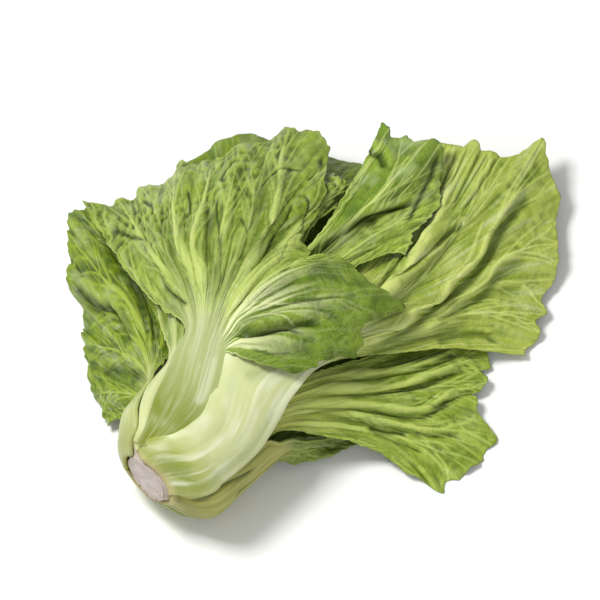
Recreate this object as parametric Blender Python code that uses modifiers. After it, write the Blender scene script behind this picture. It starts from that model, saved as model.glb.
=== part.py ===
# Chinese mustard greens: one head, cut at the stem and lying on its side.
# Lengths in the tables are millimetres and angles are degrees; the objects are in metres.
# The head lies along +X with the cut stem at the back, +Y is its left side and +Z is up.
# The origin is on the flat spot under the petioles that the head rests on.

import math

import bmesh
import bpy
import numpy as np

MM = 0.001
HEAD_NAME = "chinese_mustard_greens"

# The bundle of petioles is a bulb round the head's axis.
# Its outline: place along the head, half width, half height, sideways place of the axis.
AXIS_HEIGHT = 46.0
BUNDLE = [
    (-50.5, 21.5, 21.5, 5.0),
    (-48.5, 28, 27, 3.5),
    (-46.0, 35, 33, 1.0),
    (-40.0, 43, 40, -2.0),
    (-28.0, 49, 45, -0.5),
    (-10.0, 51, 46, 0.5),
    (10.0, 53, 46, 1.0),
    (35.0, 57, 46, 3.0),
    (60.0, 63, 45, 5.0),
    (80.0, 68, 44, 6.0),
]

# The cut stem: a turned profile of place along its axis and radius.
STUMP_PROFILE = [
    (0.0, 0.0),
    (0.0, 18.4),
    (0.7, 19.8),
    (1.6, 20.2),
    (2.6, 19.2),
    (4.5, 16.6),
    (9.0, 15.5),
    (22.0, 14.5),
    (33.0, 9.0),
    (38.0, 4.0),
    (39.0, 0.0),
]
STUMP_PLACE = (-52.0, 5.0, 46.0)
STUMP_TURN = -8.0
STUMP_STEPS = 32
STUMP_COLOUR = (0.62, 0.52, 0.46)
STUMP_ROUGHNESS = 0.6

LEAF_ROUGHNESS = 0.45

# A petiole's edges and the blade's rim are this thick, and no leaf is thicker than the limit.
PETIOLE_EDGE = 2.2
BLADE_THICKNESS = 1.1
THICKNESS_LIMIT = 14.0
# A petiole's section is a low arch, flat in the middle and steep at its edges.
PETIOLE_ARCH = 2.4
# The petiole's rows stand closer at the stump, where it turns in.
ROW_SPREAD = 1.35
# A rib is no higher than this share of the way to the next one.
RIB_SLOPE = 0.22
# A rib keeps this share of its height at the blade's rim.
RIB_AT_RIM = 0.25
# The rim waves up and down, and its teeth stand at two spacings, all in turns for each rib.
RIM_WAVE = 0.63
RIM_WAVE_START = 1.3
FINE_TEETH = 1.37
# A rib has its full flutes and teeth from this length.
WAVED_RIB = 90.0
# Clear space kept between one leaf and what lies under it or the surface.
LEAF_GAP = 1.2
FLOOR_CLEARANCE = 0.4
# A map of the heights reached so far, in square cells, and how far a leaf looks round itself in it.
MAP_CELL = 3.0
MAP_LOW = (-90.0, -200.0)
MAP_CELLS = (160, 150)
EMPTY_CELL = -50.0
SPREAD_CELLS = 2
SAMPLES_A_CELL = 6
# Passes that spread a leaf's lift over its neighbouring points.
LIFT_PASSES = 10

# Each leaf has stations along its petiole and ribs that fan out from the last station.
# Station: place along the head, left edge angle, right edge angle, depth below the bundle's
# outline, thickness. Angles turn round the axis from the head's right side over its top.
# Rib: share of the petiole's width, a point half way and the rib's end, each as place along
# the head, place across it and height.
# A depth below zero lowers the leaf beneath by that much, and the surface presses it flat.
# The rows are those of the petiole and of the blade. The leaves go from the lowest to the top one.
LEAVES = [
    {
        "name": "leaf_under",
        "colour": (0.30, 0.42, 0.12),
        "stations": [
            (-50.0, -55, -150, 0, 2.6),
            (-42.0, -57, -151, 0, 6),
            (-28.0, -60, -150, -1, 8),
            (-5.0, -60, -148, -1.5, 8),
            (25.0, -57, -140, -1.5, 6),
            (45.0, -50, -132, -0.5, 4),
        ],
        "ribs": [
            (0.00, (76, -54, 4), (120, -75, 4)),
            (0.17, (112, -34, 6), (172, -68, 4)),
            (0.34, (128, -8, 6), (212, -44, 5)),
            (0.50, (136, 18, 6), (240, 0, 4)),
            (0.67, (130, 42, 6), (228, 50, 5)),
            (0.84, (106, 60, 6), (180, 98, 4)),
            (1.00, (74, 66, 5), (98, 108, 4)),
        ],
        "columns_a_gap": 3,
        "rows": (9, 11),
        "rib_height": 1.8,
        "wave": 1.6,
        "flute": 1.4,
        "tooth": 4.0,
    },
    {
        "name": "leaf_front",
        "colour": (0.32, 0.38, 0.12),
        "stations": [
            (-50.0, 1, -50, 0, 2.6),
            (-42.0, 16, -51, 0, 7),
            (-28.0, 20, -53, 0, 8),
            (-5.0, 17, -52, 0, 8),
            (6.0, 17, -50, 0, 7),
            (18.0, 15, -46, 0, 5),
            (28.0, 11, -45, 0, 3.5),
        ],
        "ribs": [
            (0.00, (58, -56, 24), (100, -70, 4)),
            (0.30, (56, -56, 17), (84, -74, 4)),
            (0.65, (46, -53, 16), (60, -66, 8)),
            (1.00, (34, -46, 14), (40, -54, 10)),
        ],
        "columns_a_gap": 4,
        "rows": (9, 7),
        "rib_height": 0.8,
        "wave": 1.2,
        "flute": 0.8,
        "tooth": 3.0,
    },
    {
        "name": "leaf_lower_right",
        "colour": (0.24, 0.36, 0.08),
        "stations": [
            (-30.0, 48, -12, 12, 4),
            (-15.0, 50, -12, 13, 6),
            (5.0, 52, 0, 13, 6),
            (22.0, 52, 10, 11.5, 5),
        ],
        "ribs": [
            (0.00, (149, -49, 22), (219, -91, 4)),
            (0.15, (138, -60, 26), (190, -101, 8)),
            (0.29, (126, -68, 28), (176, -112, 8)),
            (0.43, (115, -73, 28), (160, -116, 8)),
            (0.57, (106, -78, 26), (149, -143, 4)),
            (0.70, (96, -81, 24), (121, -147, 3)),
            (0.82, (85, -81, 24), (94, -139, 3)),
            (1.00, (71, -74, 26), (86, -106, 8)),
        ],
        "columns_a_gap": 3,
        "rows": (5, 13),
        "rib_height": 2.0,
        "wave": 2.0,
        "flute": 1.6,
        "tooth": 4.0,
    },
    {
        "name": "leaf_left",
        "colour": (0.18, 0.30, 0.06),
        "stations": [
            (-50.0, 204, 134, 0, 2.6),
            (-45.0, 205, 130, 0, 5),
            (-37.0, 206, 129, 0, 7),
            (-28.0, 206, 135, 0, 8),
            (-18.0, 206, 143, 0, 8),
            (-5.0, 206, 154, 0, 7),
            (4.0, 206, 161, 0, 6),
        ],
        "ribs": [
            (0.00, (-8, 60, 16), (-17, 66, 9)),
            (0.16, (0, 75, 20), (-4, 92, 4)),
            (0.33, (16, 84, 22), (27, 129, 3)),
            (0.50, (33, 100, 24), (54, 162, 3)),
            (0.67, (53, 115, 28), (96, 199, 8)),
            (0.84, (64, 104, 32), (111, 168, 8)),
            (1.00, (48, 63, 38), (104, 96, 16)),
        ],
        "columns_a_gap": 3,
        "rows": (7, 12),
        "rib_height": 1.2,
        "wave": 2.0,
        "flute": 1.6,
        "tooth": 4.0,
    },
    {
        "name": "leaf_right",
        "colour": (0.46, 0.56, 0.24),
        "stations": [
            (-50.0, 112, 4, 0, 2.6),
            (-44.0, 97, 15, 0, 6),
            (-37.0, 85, 20, 0, 8),
            (-28.0, 76, 22, 0, 8.5),
            (-16.0, 72, 20, 0, 9),
            (-5.0, 71, 19, 0, 9),
            (8.0, 76, 20, 0, 8.5),
            (20.0, 83, 24, 0, 8),
            (38.0, 92, 32, 0, 7),
            (52.0, 88, 39, 0, 6),
            (66.0, 80, 44, 0, 5),
        ],
        "ribs": [
            (0.00, (157, -10, 58), (296, 26, 26)),
            (0.14, (177, -19, 60), (311, 10, 30)),
            (0.28, (193, -26, 58), (316, -12, 28)),
            (0.42, (209, -34, 54), (342, -25, 30)),
            (0.55, (208, -45, 48), (319, -61, 20)),
            (0.67, (201, -53, 40), (283, -90, 12)),
            (0.79, (181, -56, 38), (247, -106, 9)),
            (0.90, (167, -60, 36), (230, -116, 7)),
            (1.00, (146, -61, 35), (212, -116, 6)),
        ],
        "columns_a_gap": 3,
        "rows": (10, 15),
        "rib_height": 2.4,
        "wave": 2.4,
        "flute": 2.0,
        "tooth": 4.0,
    },
    {
        "name": "leaf_back",
        "colour": (0.28, 0.44, 0.08),
        "stations": [
            (-30.0, 200, 150, 11, 5),
            (-10.0, 202, 150, 12, 6),
            (20.0, 200, 148, 12, 5),
            (40.0, 190, 146, 12, 4),
        ],
        "ribs": [
            (0.00, (104, 105, 44), (167, 160, 20)),
            (0.25, (125, 92, 50), (198, 152, 22)),
            (0.50, (144, 80, 52), (222, 135, 20)),
            (0.75, (160, 66, 52), (239, 86, 20)),
            (0.90, (170, 55, 50), (253, 63, 20)),
            (1.00, (170, 48, 48), (221, 41, 34)),
        ],
        "columns_a_gap": 3,
        "rows": (6, 12),
        "rib_height": 1.0,
        "wave": 1.6,
        "flute": 0.8,
        "tooth": 2.0,
    },
    {
        "name": "leaf_left_inner",
        "colour": (0.55, 0.64, 0.34),
        "stations": [
            (-46.0, 127, 119, 0, 2.2),
            (-37.0, 127, 118, 1, 3),
            (-28.0, 132, 118, 1, 4),
            (-18.0, 140, 124, 1, 5),
            (-5.0, 151, 129, 1, 5.5),
            (10.0, 160, 135, 2, 5),
            (24.0, 162, 141, 4, 4),
        ],
        "ribs": [
            (0.00, (50, 78, 52), (82, 114, 34)),
            (0.50, (58, 72, 58), (109, 108, 42)),
            (1.00, (60, 62, 62), (101, 86, 52)),
        ],
        "columns_a_gap": 4,
        "rows": (9, 8),
        "rib_height": 1.0,
        "wave": 1.5,
        "flute": 0.6,
        "tooth": 2.0,
    },
    {
        "name": "heart",
        "colour": (0.14, 0.26, 0.05),
        "stations": [
            (-20.0, 125, 60, 22, 6),
            (0.0, 125, 60, 22, 8),
            (30.0, 120, 70, 22, 7),
            (55.0, 120, 75, 20, 5),
        ],
        "ribs": [
            (0.00, (147, 54, 70), (214, 77, 44)),
            (0.35, (155, 47, 74), (211, 57, 62)),
            (0.70, (159, 40, 74), (213, 39, 62)),
            (1.00, (157, 34, 72), (201, 31, 54)),
        ],
        "columns_a_gap": 4,
        "rows": (6, 12),
        "rib_height": 1.0,
        "wave": 3.0,
        "flute": 1.5,
        "tooth": 3.0,
    },
    {
        "name": "leaf_folded",
        "colour": (0.30, 0.42, 0.12),
        "stations": [
            (-30.0, 100, 62, 11, 5),
            (-10.0, 100, 60, 12, 6),
            (20.0, 106, 72, 12, 6),
            (60.0, 116, 92, 10, 4),
        ],
        "ribs": [
            (0.00, (159, 27, 80), (268, 59, 56)),
            (0.30, (161, 20, 81), (274, 39, 54)),
            (0.55, (164, 13, 80), (286, 20, 48)),
            (0.80, (164, 5, 72), (249, -8, 46)),
            (1.00, (161, -3, 66), (195, -21, 54)),
        ],
        "columns_a_gap": 4,
        "rows": (7, 14),
        "rib_height": 1.6,
        "wave": 1.6,
        "flute": 1.2,
        "tooth": 3.0,
    },
    {
        "name": "leaf_top",
        "colour": (0.34, 0.46, 0.16),
        "stations": [
            (-46.0, 116, 104, 1, 2.6),
            (-37.0, 115, 88, 1, 5),
            (-28.0, 115, 79, 0, 7),
            (-16.0, 121, 75, 0, 8.5),
            (-5.0, 126, 74, 0, 9),
            (8.0, 131, 79, 0, 8),
            (20.0, 136, 86, 0, 7),
            (32.0, 140, 92, 0, 6),
            (43.0, 142, 98, 0, 5),
        ],
        "ribs": [
            (0.00, (61, 106, 52), (105, 192, 12)),
            (0.10, (77, 108, 66), (122, 173, 22)),
            (0.20, (89, 106, 74), (138, 161, 32)),
            (0.31, (97, 98, 80), (161, 152, 40)),
            (0.42, (106, 89, 84), (175, 140, 46)),
            (0.52, (118, 78, 87), (196, 125, 48)),
            (0.60, (130, 67, 88), (226, 112, 48)),
            (0.68, (135, 56, 89), (232, 78, 52)),
            (0.75, (126, 46, 91), (190, 47, 66)),
            (0.81, (107, 36, 92), (143, 26, 84)),
            (0.87, (103, 24, 93), (157, -2, 84)),
            (0.92, (104, 4, 92), (159, -42, 66)),
            (0.96, (84, -5, 93), (109, -48, 70)),
            (1.00, (46, -6, 96), (60, -34, 85)),
        ],
        "columns_a_gap": 3,
        "rows": (9, 13),
        "rib_height": 2.4,
        "wave": 2.4,
        "flute": 1.8,
        "tooth": 4.0,
    },
]


def clear_scene():
    for old in list(bpy.data.objects):
        bpy.data.objects.remove(old, do_unlink=True)


def make_collection(name):
    group = bpy.data.collections.new(name)
    bpy.context.scene.collection.children.link(group)
    return group


def make_material(name, colour, roughness):
    material = bpy.data.materials.new(name)
    material.use_nodes = True
    shader = material.node_tree.nodes["Principled BSDF"]
    shader.inputs["Base Color"].default_value = (*colour, 1.0)
    shader.inputs["Roughness"].default_value = roughness
    shader.inputs["Metallic"].default_value = 0.0
    return material


def spline(knots, values, at):
    # A smooth curve through values at rising knots, made of cubic Hermite pieces.
    knots = np.asarray(knots, float)
    values = np.asarray(values, float)
    slopes = np.gradient(values, knots, axis=0)
    at = np.clip(np.asarray(at, float), knots[0], knots[-1])
    piece = np.clip(np.searchsorted(knots, at, side="right") - 1, 0, len(knots) - 2)
    width = knots[piece + 1] - knots[piece]
    f = (at - knots[piece]) / width
    shape = f.shape + (1,) * (values.ndim - 1)
    f = f.reshape(shape)
    width = width.reshape(shape)
    start = (2 * f**3 - 3 * f**2 + 1) * values[piece] + (f**3 - 2 * f**2 + f) * width * slopes[piece]
    end = (3 * f**2 - 2 * f**3) * values[piece + 1] + (f**3 - f**2) * width * slopes[piece + 1]
    return start + end


def smooth_step(low, high, value):
    f = np.clip((value - low) / (high - low), 0.0, 1.0)
    return f * f * (3 - 2 * f)


def petiole_point(leaf, place, share):
    # A point of the petiole's outer face, and the petiole's thickness there.
    stations = np.array(leaf["stations"], float)
    left, right, depth, thickness = spline(stations[:, 0], stations[:, 1:], place)
    outline = np.array(BUNDLE, float)
    half_width, half_height, side = spline(outline[:, 0], outline[:, 1:], place)
    angle = math.radians(left + (right - left) * share)
    across = side - (half_width - depth) * math.cos(angle)
    height = AXIS_HEIGHT + (half_height - depth) * math.sin(angle)
    arched = 1.0 - abs(2 * share - 1) ** PETIOLE_ARCH
    edge = min(PETIOLE_EDGE, thickness)
    thick = edge + (thickness - edge) * arched
    return np.array([place, across, height]), thick


def rib_route(start, heading, middle, end, count):
    # A smooth route from the petiole through a middle point to the rib's end.
    middle = np.array(middle, float)
    end = np.array(end, float)
    first = np.linalg.norm(middle - start)
    turn = float(np.dot(heading, (middle - start) / first))
    heading = heading * first * np.clip(0.35 + 0.6 * turn, 0.15, 0.95)
    across = (end - start) * 0.5
    tail = 2.0 * (end - middle) - across
    route = []
    for k in range(1, count + 1):
        f = 2.0 * k / count
        if f <= 1.0:
            a, b, ta, tb = start, middle, heading, across
        else:
            a, b, ta, tb = middle, end, across, tail
            f -= 1.0
        route.append(
            (2 * f**3 - 3 * f**2 + 1) * a
            + (f**3 - 2 * f**2 + f) * ta
            + (3 * f**2 - 2 * f**3) * b
            + (f**3 - f**2) * tb
        )
    return np.array(route)


def leaf_sheet(leaf):
    # The leaf's smooth outer face, as rows along it and columns across it, with its thickness.
    ribs = leaf["ribs"]
    petiole_rows, blade_rows = leaf["rows"]
    columns = (len(ribs) - 1) * leaf["columns_a_gap"] + 1
    across = np.linspace(0, len(ribs) - 1, columns)
    shares = spline(np.arange(len(ribs)), [rib[0] for rib in ribs], across)
    first, last = leaf["stations"][0][0], leaf["stations"][-1][0]
    points = []
    thick = []
    for row in range(petiole_rows + 1):
        place = first + (last - first) * (row / petiole_rows) ** ROW_SPREAD
        pairs = [petiole_point(leaf, place, share) for share in shares]
        points.append([pair[0] for pair in pairs])
        thick.append([pair[1] for pair in pairs])
    routes = []
    for share, middle, end in ribs:
        start = petiole_point(leaf, last, share)[0]
        heading = start - petiole_point(leaf, last - 3.0, share)[0]
        heading /= np.linalg.norm(heading)
        routes.append(rib_route(start, heading, middle, end, blade_rows))
    routes = np.array(routes)
    neck = np.array(thick[-1])
    on_rib = 0.5 + 0.5 * np.cos(2 * math.pi * across)
    for row in range(blade_rows):
        u = (row + 1) / blade_rows
        points.append(spline(np.arange(len(ribs)), routes[:, row], across))
        thick.append(BLADE_THICKNESS + (neck - BLADE_THICKNESS) * (1 - u) ** 3)
    return np.array(points), np.array(thick), on_rib, across


def sheet_normals(points):
    along = np.gradient(points, axis=0)
    sideways = np.gradient(points, axis=1)
    normal = np.cross(sideways, along)
    return normal / np.maximum(np.linalg.norm(normal, axis=2, keepdims=True), 1e-9)


def shape_leaf(leaf):
    # The leaf's inner face with its flutes, waved rim and teeth. Ribs thicken the leaf outward.
    points, thick, on_rib, across = leaf_sheet(leaf)
    petiole_rows, blade_rows = leaf["rows"]
    u = np.clip((np.arange(len(points)) - petiole_rows) / blade_rows, -1.0, 1.0)[:, None]
    blade = np.clip(u, 0.0, 1.0)
    near_neck = smooth_step(-0.9, 0.15, u)
    spacing = np.linalg.norm(np.gradient(points, axis=1), axis=2) * leaf["columns_a_gap"]
    height = np.minimum(leaf["rib_height"], RIB_SLOPE * spacing)
    fading = 1 - (1 - RIB_AT_RIM) * blade
    ridge = height * near_neck * fading * (on_rib[None, :] ** 1.5)
    flute = leaf["flute"] * smooth_step(0.05, 0.6, blade) * (on_rib[None, :] - 0.5)
    turns = 2 * math.pi * across
    wave = leaf["wave"] * blade**2.2 * np.sin(RIM_WAVE * turns + RIM_WAVE_START)[None, :]
    reach = np.linalg.norm(points[-1] - points[petiole_rows], axis=1)
    long_rib = np.clip(reach / WAVED_RIB, 0.0, 1.0)
    normals = sheet_normals(points)
    points = points + normals * ((flute + wave) * long_rib - thick)[:, :, None]
    outward = points[-1] - points[-2]
    outward /= np.maximum(np.linalg.norm(outward, axis=1, keepdims=True), 1e-9)
    tooth = leaf["tooth"] * 0.5 * (np.cos(turns) + np.sin(FINE_TEETH * turns))
    points[-1] += outward * (tooth * long_rib)[:, None]
    return points, thick + ridge


def outer_face(points, thick):
    return points + sheet_normals(points) * thick[:, :, None]


def fine_points(points, steps):
    # The grid sampled more closely, for the map of heights.
    rows, columns = points.shape[:2]
    i = np.linspace(0, rows - 1, (rows - 1) * steps + 1)
    j = np.linspace(0, columns - 1, (columns - 1) * steps + 1)
    i0 = np.minimum(i.astype(int), rows - 2)
    j0 = np.minimum(j.astype(int), columns - 2)
    fi = (i - i0)[:, None, None]
    fj = (j - j0)[None, :, None]
    a = points[i0][:, j0]
    b = points[i0 + 1][:, j0]
    c = points[i0][:, j0 + 1]
    d = points[i0 + 1][:, j0 + 1]
    return (1 - fi) * (1 - fj) * a + fi * (1 - fj) * b + (1 - fi) * fj * c + fi * fj * d


def map_cells(points):
    cell = ((points[..., :2] - np.array(MAP_LOW)) / MAP_CELL).astype(int)
    return np.clip(cell[..., 0], 0, MAP_CELLS[0] - 1), np.clip(cell[..., 1], 0, MAP_CELLS[1] - 1)


def add_to_map(heights, points):
    fine = fine_points(points, SAMPLES_A_CELL).reshape(-1, 3)
    i, j = map_cells(fine)
    np.maximum.at(heights, (i, j), fine[:, 2])


def spread_map(heights):
    # Each cell takes the highest value around it, so a leaf clears its neighbour's crests.
    wide = heights.copy()
    for di in range(-SPREAD_CELLS, SPREAD_CELLS + 1):
        for dj in range(-SPREAD_CELLS, SPREAD_CELLS + 1):
            wide = np.maximum(wide, np.roll(np.roll(heights, di, axis=0), dj, axis=1))
    return wide


def settle(leaf, points, thick, heights):
    # Lifts the blade smoothly where it would touch what lies under it. Steep parts stay in place.
    petiole_rows, blade_rows = leaf["rows"]
    lowest = np.minimum(points[:, :, 2], outer_face(points, thick)[:, :, 2])
    wide = spread_map(heights)
    i, j = map_cells(points)
    need = np.maximum(wide[i, j] + LEAF_GAP - lowest, FLOOR_CLEARANCE - lowest)
    u = np.clip((np.arange(len(points)) - petiole_rows) / blade_rows, 0.0, 1.0)
    level = smooth_step(0.15, 0.55, np.abs(sheet_normals(points)[:, :, 2]))
    weight = smooth_step(0.02, 0.3, u)[:, None] * level
    need = np.maximum(need, 0.0) * weight
    lift = need.copy()
    for _ in range(LIFT_PASSES):
        around = np.pad(lift, 1, mode="edge")
        mean = (around[:-2, 1:-1] + around[2:, 1:-1] + around[1:-1, :-2] + around[1:-1, 2:]) / 4
        lift = np.maximum(need, mean * weight)
    points = points.copy()
    points[:, :, 2] += lift
    return points


def make_leaf(leaf, points, thick, group):
    rows, columns = thick.shape
    mesh = bmesh.new()
    verts = [mesh.verts.new(tuple(point * MM)) for point in points.reshape(-1, 3)]
    for i in range(rows - 1):
        for j in range(columns - 1):
            a = verts[i * columns + j]
            b = verts[i * columns + j + 1]
            c = verts[(i + 1) * columns + j + 1]
            d = verts[(i + 1) * columns + j]
            mesh.faces.new((a, b, c))
            mesh.faces.new((a, c, d))
    data = bpy.data.meshes.new(leaf["name"])
    mesh.to_mesh(data)
    mesh.free()
    sheet = bpy.data.objects.new(leaf["name"], data)
    group.objects.link(sheet)
    weights = sheet.vertex_groups.new(name="thickness")
    for index, value in enumerate(thick.reshape(-1)):
        weights.add([index], float(value) / THICKNESS_LIMIT, "REPLACE")
    solid = sheet.modifiers.new("thickness", "SOLIDIFY")
    solid.thickness = THICKNESS_LIMIT * MM
    solid.offset = 1.0
    solid.vertex_group = "thickness"
    solid.thickness_vertex_group = 0.0
    graph = bpy.context.evaluated_depsgraph_get()
    solid_mesh = bpy.data.meshes.new_from_object(sheet.evaluated_get(graph))
    sheet.modifiers.clear()
    sheet.data = solid_mesh
    bpy.data.meshes.remove(data)
    flatten_under(solid_mesh)
    sheet.data.materials.append(make_material(leaf["name"], leaf["colour"], LEAF_ROUGHNESS))
    return sheet


def flatten_under(mesh):
    # What would sink into the surface is pressed flat on it, and every face is a triangle.
    work = bmesh.new()
    work.from_mesh(mesh)
    for vert in work.verts:
        vert.co.z = max(vert.co.z, 0.0)
    bmesh.ops.triangulate(work, faces=work.faces[:])
    work.to_mesh(mesh)
    work.free()
    mesh.shade_smooth()


def make_stump(group):
    work = bmesh.new()
    verts = [work.verts.new((place * MM, radius * MM, 0)) for place, radius in STUMP_PROFILE]
    for a, b in zip(verts, verts[1:]):
        work.edges.new((a, b))
    data = bpy.data.meshes.new("stump")
    work.to_mesh(data)
    work.free()
    stump = bpy.data.objects.new("stump", data)
    group.objects.link(stump)
    screw = stump.modifiers.new("turn", "SCREW")
    screw.axis = "X"
    screw.steps = STUMP_STEPS
    screw.render_steps = STUMP_STEPS
    screw.use_merge_vertices = True
    screw.merge_threshold = 0.00001
    screw.use_normal_calculate = True
    stump.location = [value * MM for value in STUMP_PLACE]
    stump.rotation_euler = (0, 0, math.radians(STUMP_TURN))
    data.materials.append(make_material("stump", STUMP_COLOUR, STUMP_ROUGHNESS))
    return stump


def build():
    clear_scene()
    group = make_collection(HEAD_NAME)
    make_stump(group)
    heights = np.full(MAP_CELLS, EMPTY_CELL)
    for leaf in LEAVES:
        points, thick = shape_leaf(leaf)
        points = settle(leaf, points, thick, heights)
        add_to_map(heights, points)
        add_to_map(heights, outer_face(points, thick))
        make_leaf(leaf, points, thick, group)


build()
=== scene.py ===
# Chinese mustard greens: the looks of one cut head that lies on its side.
# Lengths in the dictionaries are millimetres and angles are degrees; the meshes are in metres.
# +X runs from the cut stem to the leaf tips, +Y is the head's left side and +Z is up.

import math
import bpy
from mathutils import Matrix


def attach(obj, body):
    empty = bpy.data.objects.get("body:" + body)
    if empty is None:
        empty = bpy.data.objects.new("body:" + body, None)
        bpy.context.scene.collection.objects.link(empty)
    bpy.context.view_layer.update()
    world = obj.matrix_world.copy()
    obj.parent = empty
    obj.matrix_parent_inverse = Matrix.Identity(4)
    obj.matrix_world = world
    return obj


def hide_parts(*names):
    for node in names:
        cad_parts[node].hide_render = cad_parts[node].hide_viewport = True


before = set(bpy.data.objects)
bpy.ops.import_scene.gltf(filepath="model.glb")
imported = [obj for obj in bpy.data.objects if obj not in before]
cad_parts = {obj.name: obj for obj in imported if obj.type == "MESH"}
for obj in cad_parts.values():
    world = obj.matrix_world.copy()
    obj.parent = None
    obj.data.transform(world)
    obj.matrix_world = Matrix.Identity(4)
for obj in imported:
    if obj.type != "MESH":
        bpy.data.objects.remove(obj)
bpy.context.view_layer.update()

from types import SimpleNamespace

import bpy
import numpy as np
from mathutils import Matrix, Vector

mm = 0.001

# the bulb that the stalks make round the head's axis:
# place along the head, half width, half height, sideways place of the axis
bundle = {
    "axisHeight": 46.0,
    "outline": [
        (-50.5, 21.5, 21.5, 5.0), (-48.5, 28, 27, 3.5), (-46.0, 35, 33, 1.0), (-40.0, 43, 40, -2.0),
        (-28.0, 49, 45, -0.5), (-10.0, 51, 46, 0.5), (10.0, 53, 46, 1.0), (35.0, 57, 46, 3.0),
        (60.0, 63, 45, 5.0), (80.0, 68, 44, 6.0),
    ],
}

# what every leaf has in common; the same rules give the solids their shape
growth = {
    "stalkEdge": 2.2, "bladeThickness": 1.1, "rimThickness": 0.7, "stalkArch": 2.4, "rowSpread": 1.35,
    "ribSlope": 0.22, "ribAtRim": 0.25, "rimWave": 0.63, "rimWaveStart": 1.3, "fineTeeth": 1.37,
    "wavedRib": 90.0, "floorGap": 0.4, "surfaceGap": 0.3, "cutRim": 18.2, "cutFrom": (-45.5, -50.2),
}

# how the finer shapes change along a blade: 0 where the stalk ends and 1 at the rim, and the share there
bladeRun = {
    "ribWidth": ([-0.5, -0.1, 0.15, 0.35, 0.7, 1.0], [0.6, 0.8, 1.0, 1.0, 0.6, 0.25]),
    "ribAt": [-0.3, 0.0, 0.25, 0.6, 1.0],
    "paleAt": [-0.45, 0.05, 0.3, 0.75, 1.0],
    "foldNarrows": ([0.5, 1.0], [1.0, 0.6]),
}

# where side veins leave a rib and how they fork, in shares of the blade and in ribs across it
sideVein = {
    "from": 0.12, "span": 0.78, "uneven": 0.9, "length": (0.2, 0.36), "reach": (0.36, 0.6),
    "width": (0.7, 1.2), "forksAt": (0.3, 0.6), "noFork": 0.25, "forkReach": (0.12, 0.26), "forkWidth": 0.62,
}

# the finished face: passes of smoothing, and how far in millimetres it stands out where a field is full
surface = {"reliefBlur": 3, "liftBlur": 24, "formBlur": 14, "facingBlur": 6, "hollowAt": 0.45, "proudAt": 0.5}

# the bake's map: the outer face above and the inner face below, each leaf's rim set off a little outside
bakeMap = {
    "outer": (0.37, 0.99), "inner": (0.01, 0.33), "sides": (0.01, 0.99),
    "middle": (0.5, 0.68), "rimOut": 0.012,
}

# the heights reached so far, as a grid of square cells seen from above, and how a new leaf is lifted off
# them: a coarse one for the solids' sheets and a fine one for the finished leaves
heightMap = {"cell": 3.0, "low": (-90.0, -200.0), "cells": (160, 150), "spread": 2, "gap": 1.2, "passes": 10}
fineMap = {"cell": 2.0, "low": (-90.0, -200.0), "cells": (240, 225), "spread": 1, "gap": 0.5, "passes": 40}
emptyHeight = -50.0


def toLinear(code):
    # an sRGB hex colour as the linear one that shaders use
    parts = [int(code[k:k + 2], 16) / 255 for k in (1, 3, 5)]
    return [p / 12.92 if p <= 0.04045 else ((p + 0.055) / 1.055) ** 2.4 for p in parts] + [1.0]


def smoothStep(low, high, value):
    f = np.clip((value - low) / (high - low), 0.0, 1.0)
    return f * f * (3 - 2 * f)


def hump(distance, width):
    # 1 in the middle, and down to nothing within about two widths
    return np.exp(-((distance / width) ** 2))


def unit(vectors):
    return vectors / np.maximum(np.linalg.norm(vectors, axis=-1, keepdims=True), 1e-9)


def hermite(f, start, end, startSlope, endSlope):
    # the smooth curve between two values with given slopes
    low = (2 * f**3 - 3 * f**2 + 1) * start + (f**3 - 2 * f**2 + f) * startSlope
    return low + ((3 * f**2 - 2 * f**3) * end + (f**3 - f**2) * endSlope)


def spline(knots, values, at):
    # a smooth curve through values at rising knots
    knots = np.asarray(knots, float)
    values = np.asarray(values, float)
    slopes = np.gradient(values, knots, axis=0)
    at = np.clip(np.asarray(at, float), knots[0], knots[-1])
    piece = np.clip(np.searchsorted(knots, at, side="right") - 1, 0, len(knots) - 2)
    width = knots[piece + 1] - knots[piece]
    f = (at - knots[piece]) / width
    shape = f.shape + (1,) * (values.ndim - 1)
    f = f.reshape(shape)
    width = width.reshape(shape)
    return hermite(f, values[piece], values[piece + 1], width * slopes[piece], width * slopes[piece + 1])


def lattice(i, j, seed):
    # a repeatable random number from 0 to 1 for each lattice point
    h = np.sin(i * 127.1 + j * 311.7 + seed * 74.7) * 43758.5453
    return h - np.floor(h)


def noise(x, y, seed):
    # smooth noise from -1 to 1, one swell for each unit
    i, j = np.floor(x), np.floor(y)
    fx, fy = x - i, y - j
    fx = fx * fx * (3 - 2 * fx)
    fy = fy * fy * (3 - 2 * fy)
    low = lattice(i, j, seed) * (1 - fx) + lattice(i + 1, j, seed) * fx
    high = lattice(i, j + 1, seed) * (1 - fx) + lattice(i + 1, j + 1, seed) * fx
    return 2 * (low * (1 - fy) + high * fy) - 1


def layeredNoise(x, y, seed):
    fine = 0.5 * noise(2.1 * x, 2.1 * y, seed + 7) + 0.25 * noise(4.3 * x, 4.3 * y, seed + 13)
    return (noise(x, y, seed) + fine) / 1.75


def cellBorder(x, y, seed):
    # distance to the border between the cells of an uneven network, 0 on the border
    i, j = np.floor(x), np.floor(y)
    first = np.full(np.shape(x), 9.0)
    second = np.full(np.shape(x), 9.0)
    for di in (-1, 0, 1):
        for dj in (-1, 0, 1):
            px = i + di + 0.15 + 0.7 * lattice(i + di, j + dj, seed)
            py = j + dj + 0.15 + 0.7 * lattice(i + di, j + dj, seed + 31)
            d = np.hypot(px - x, py - y)
            second = np.where(d < first, first, np.minimum(second, d))
            first = np.minimum(first, d)
    return second - first


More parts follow.
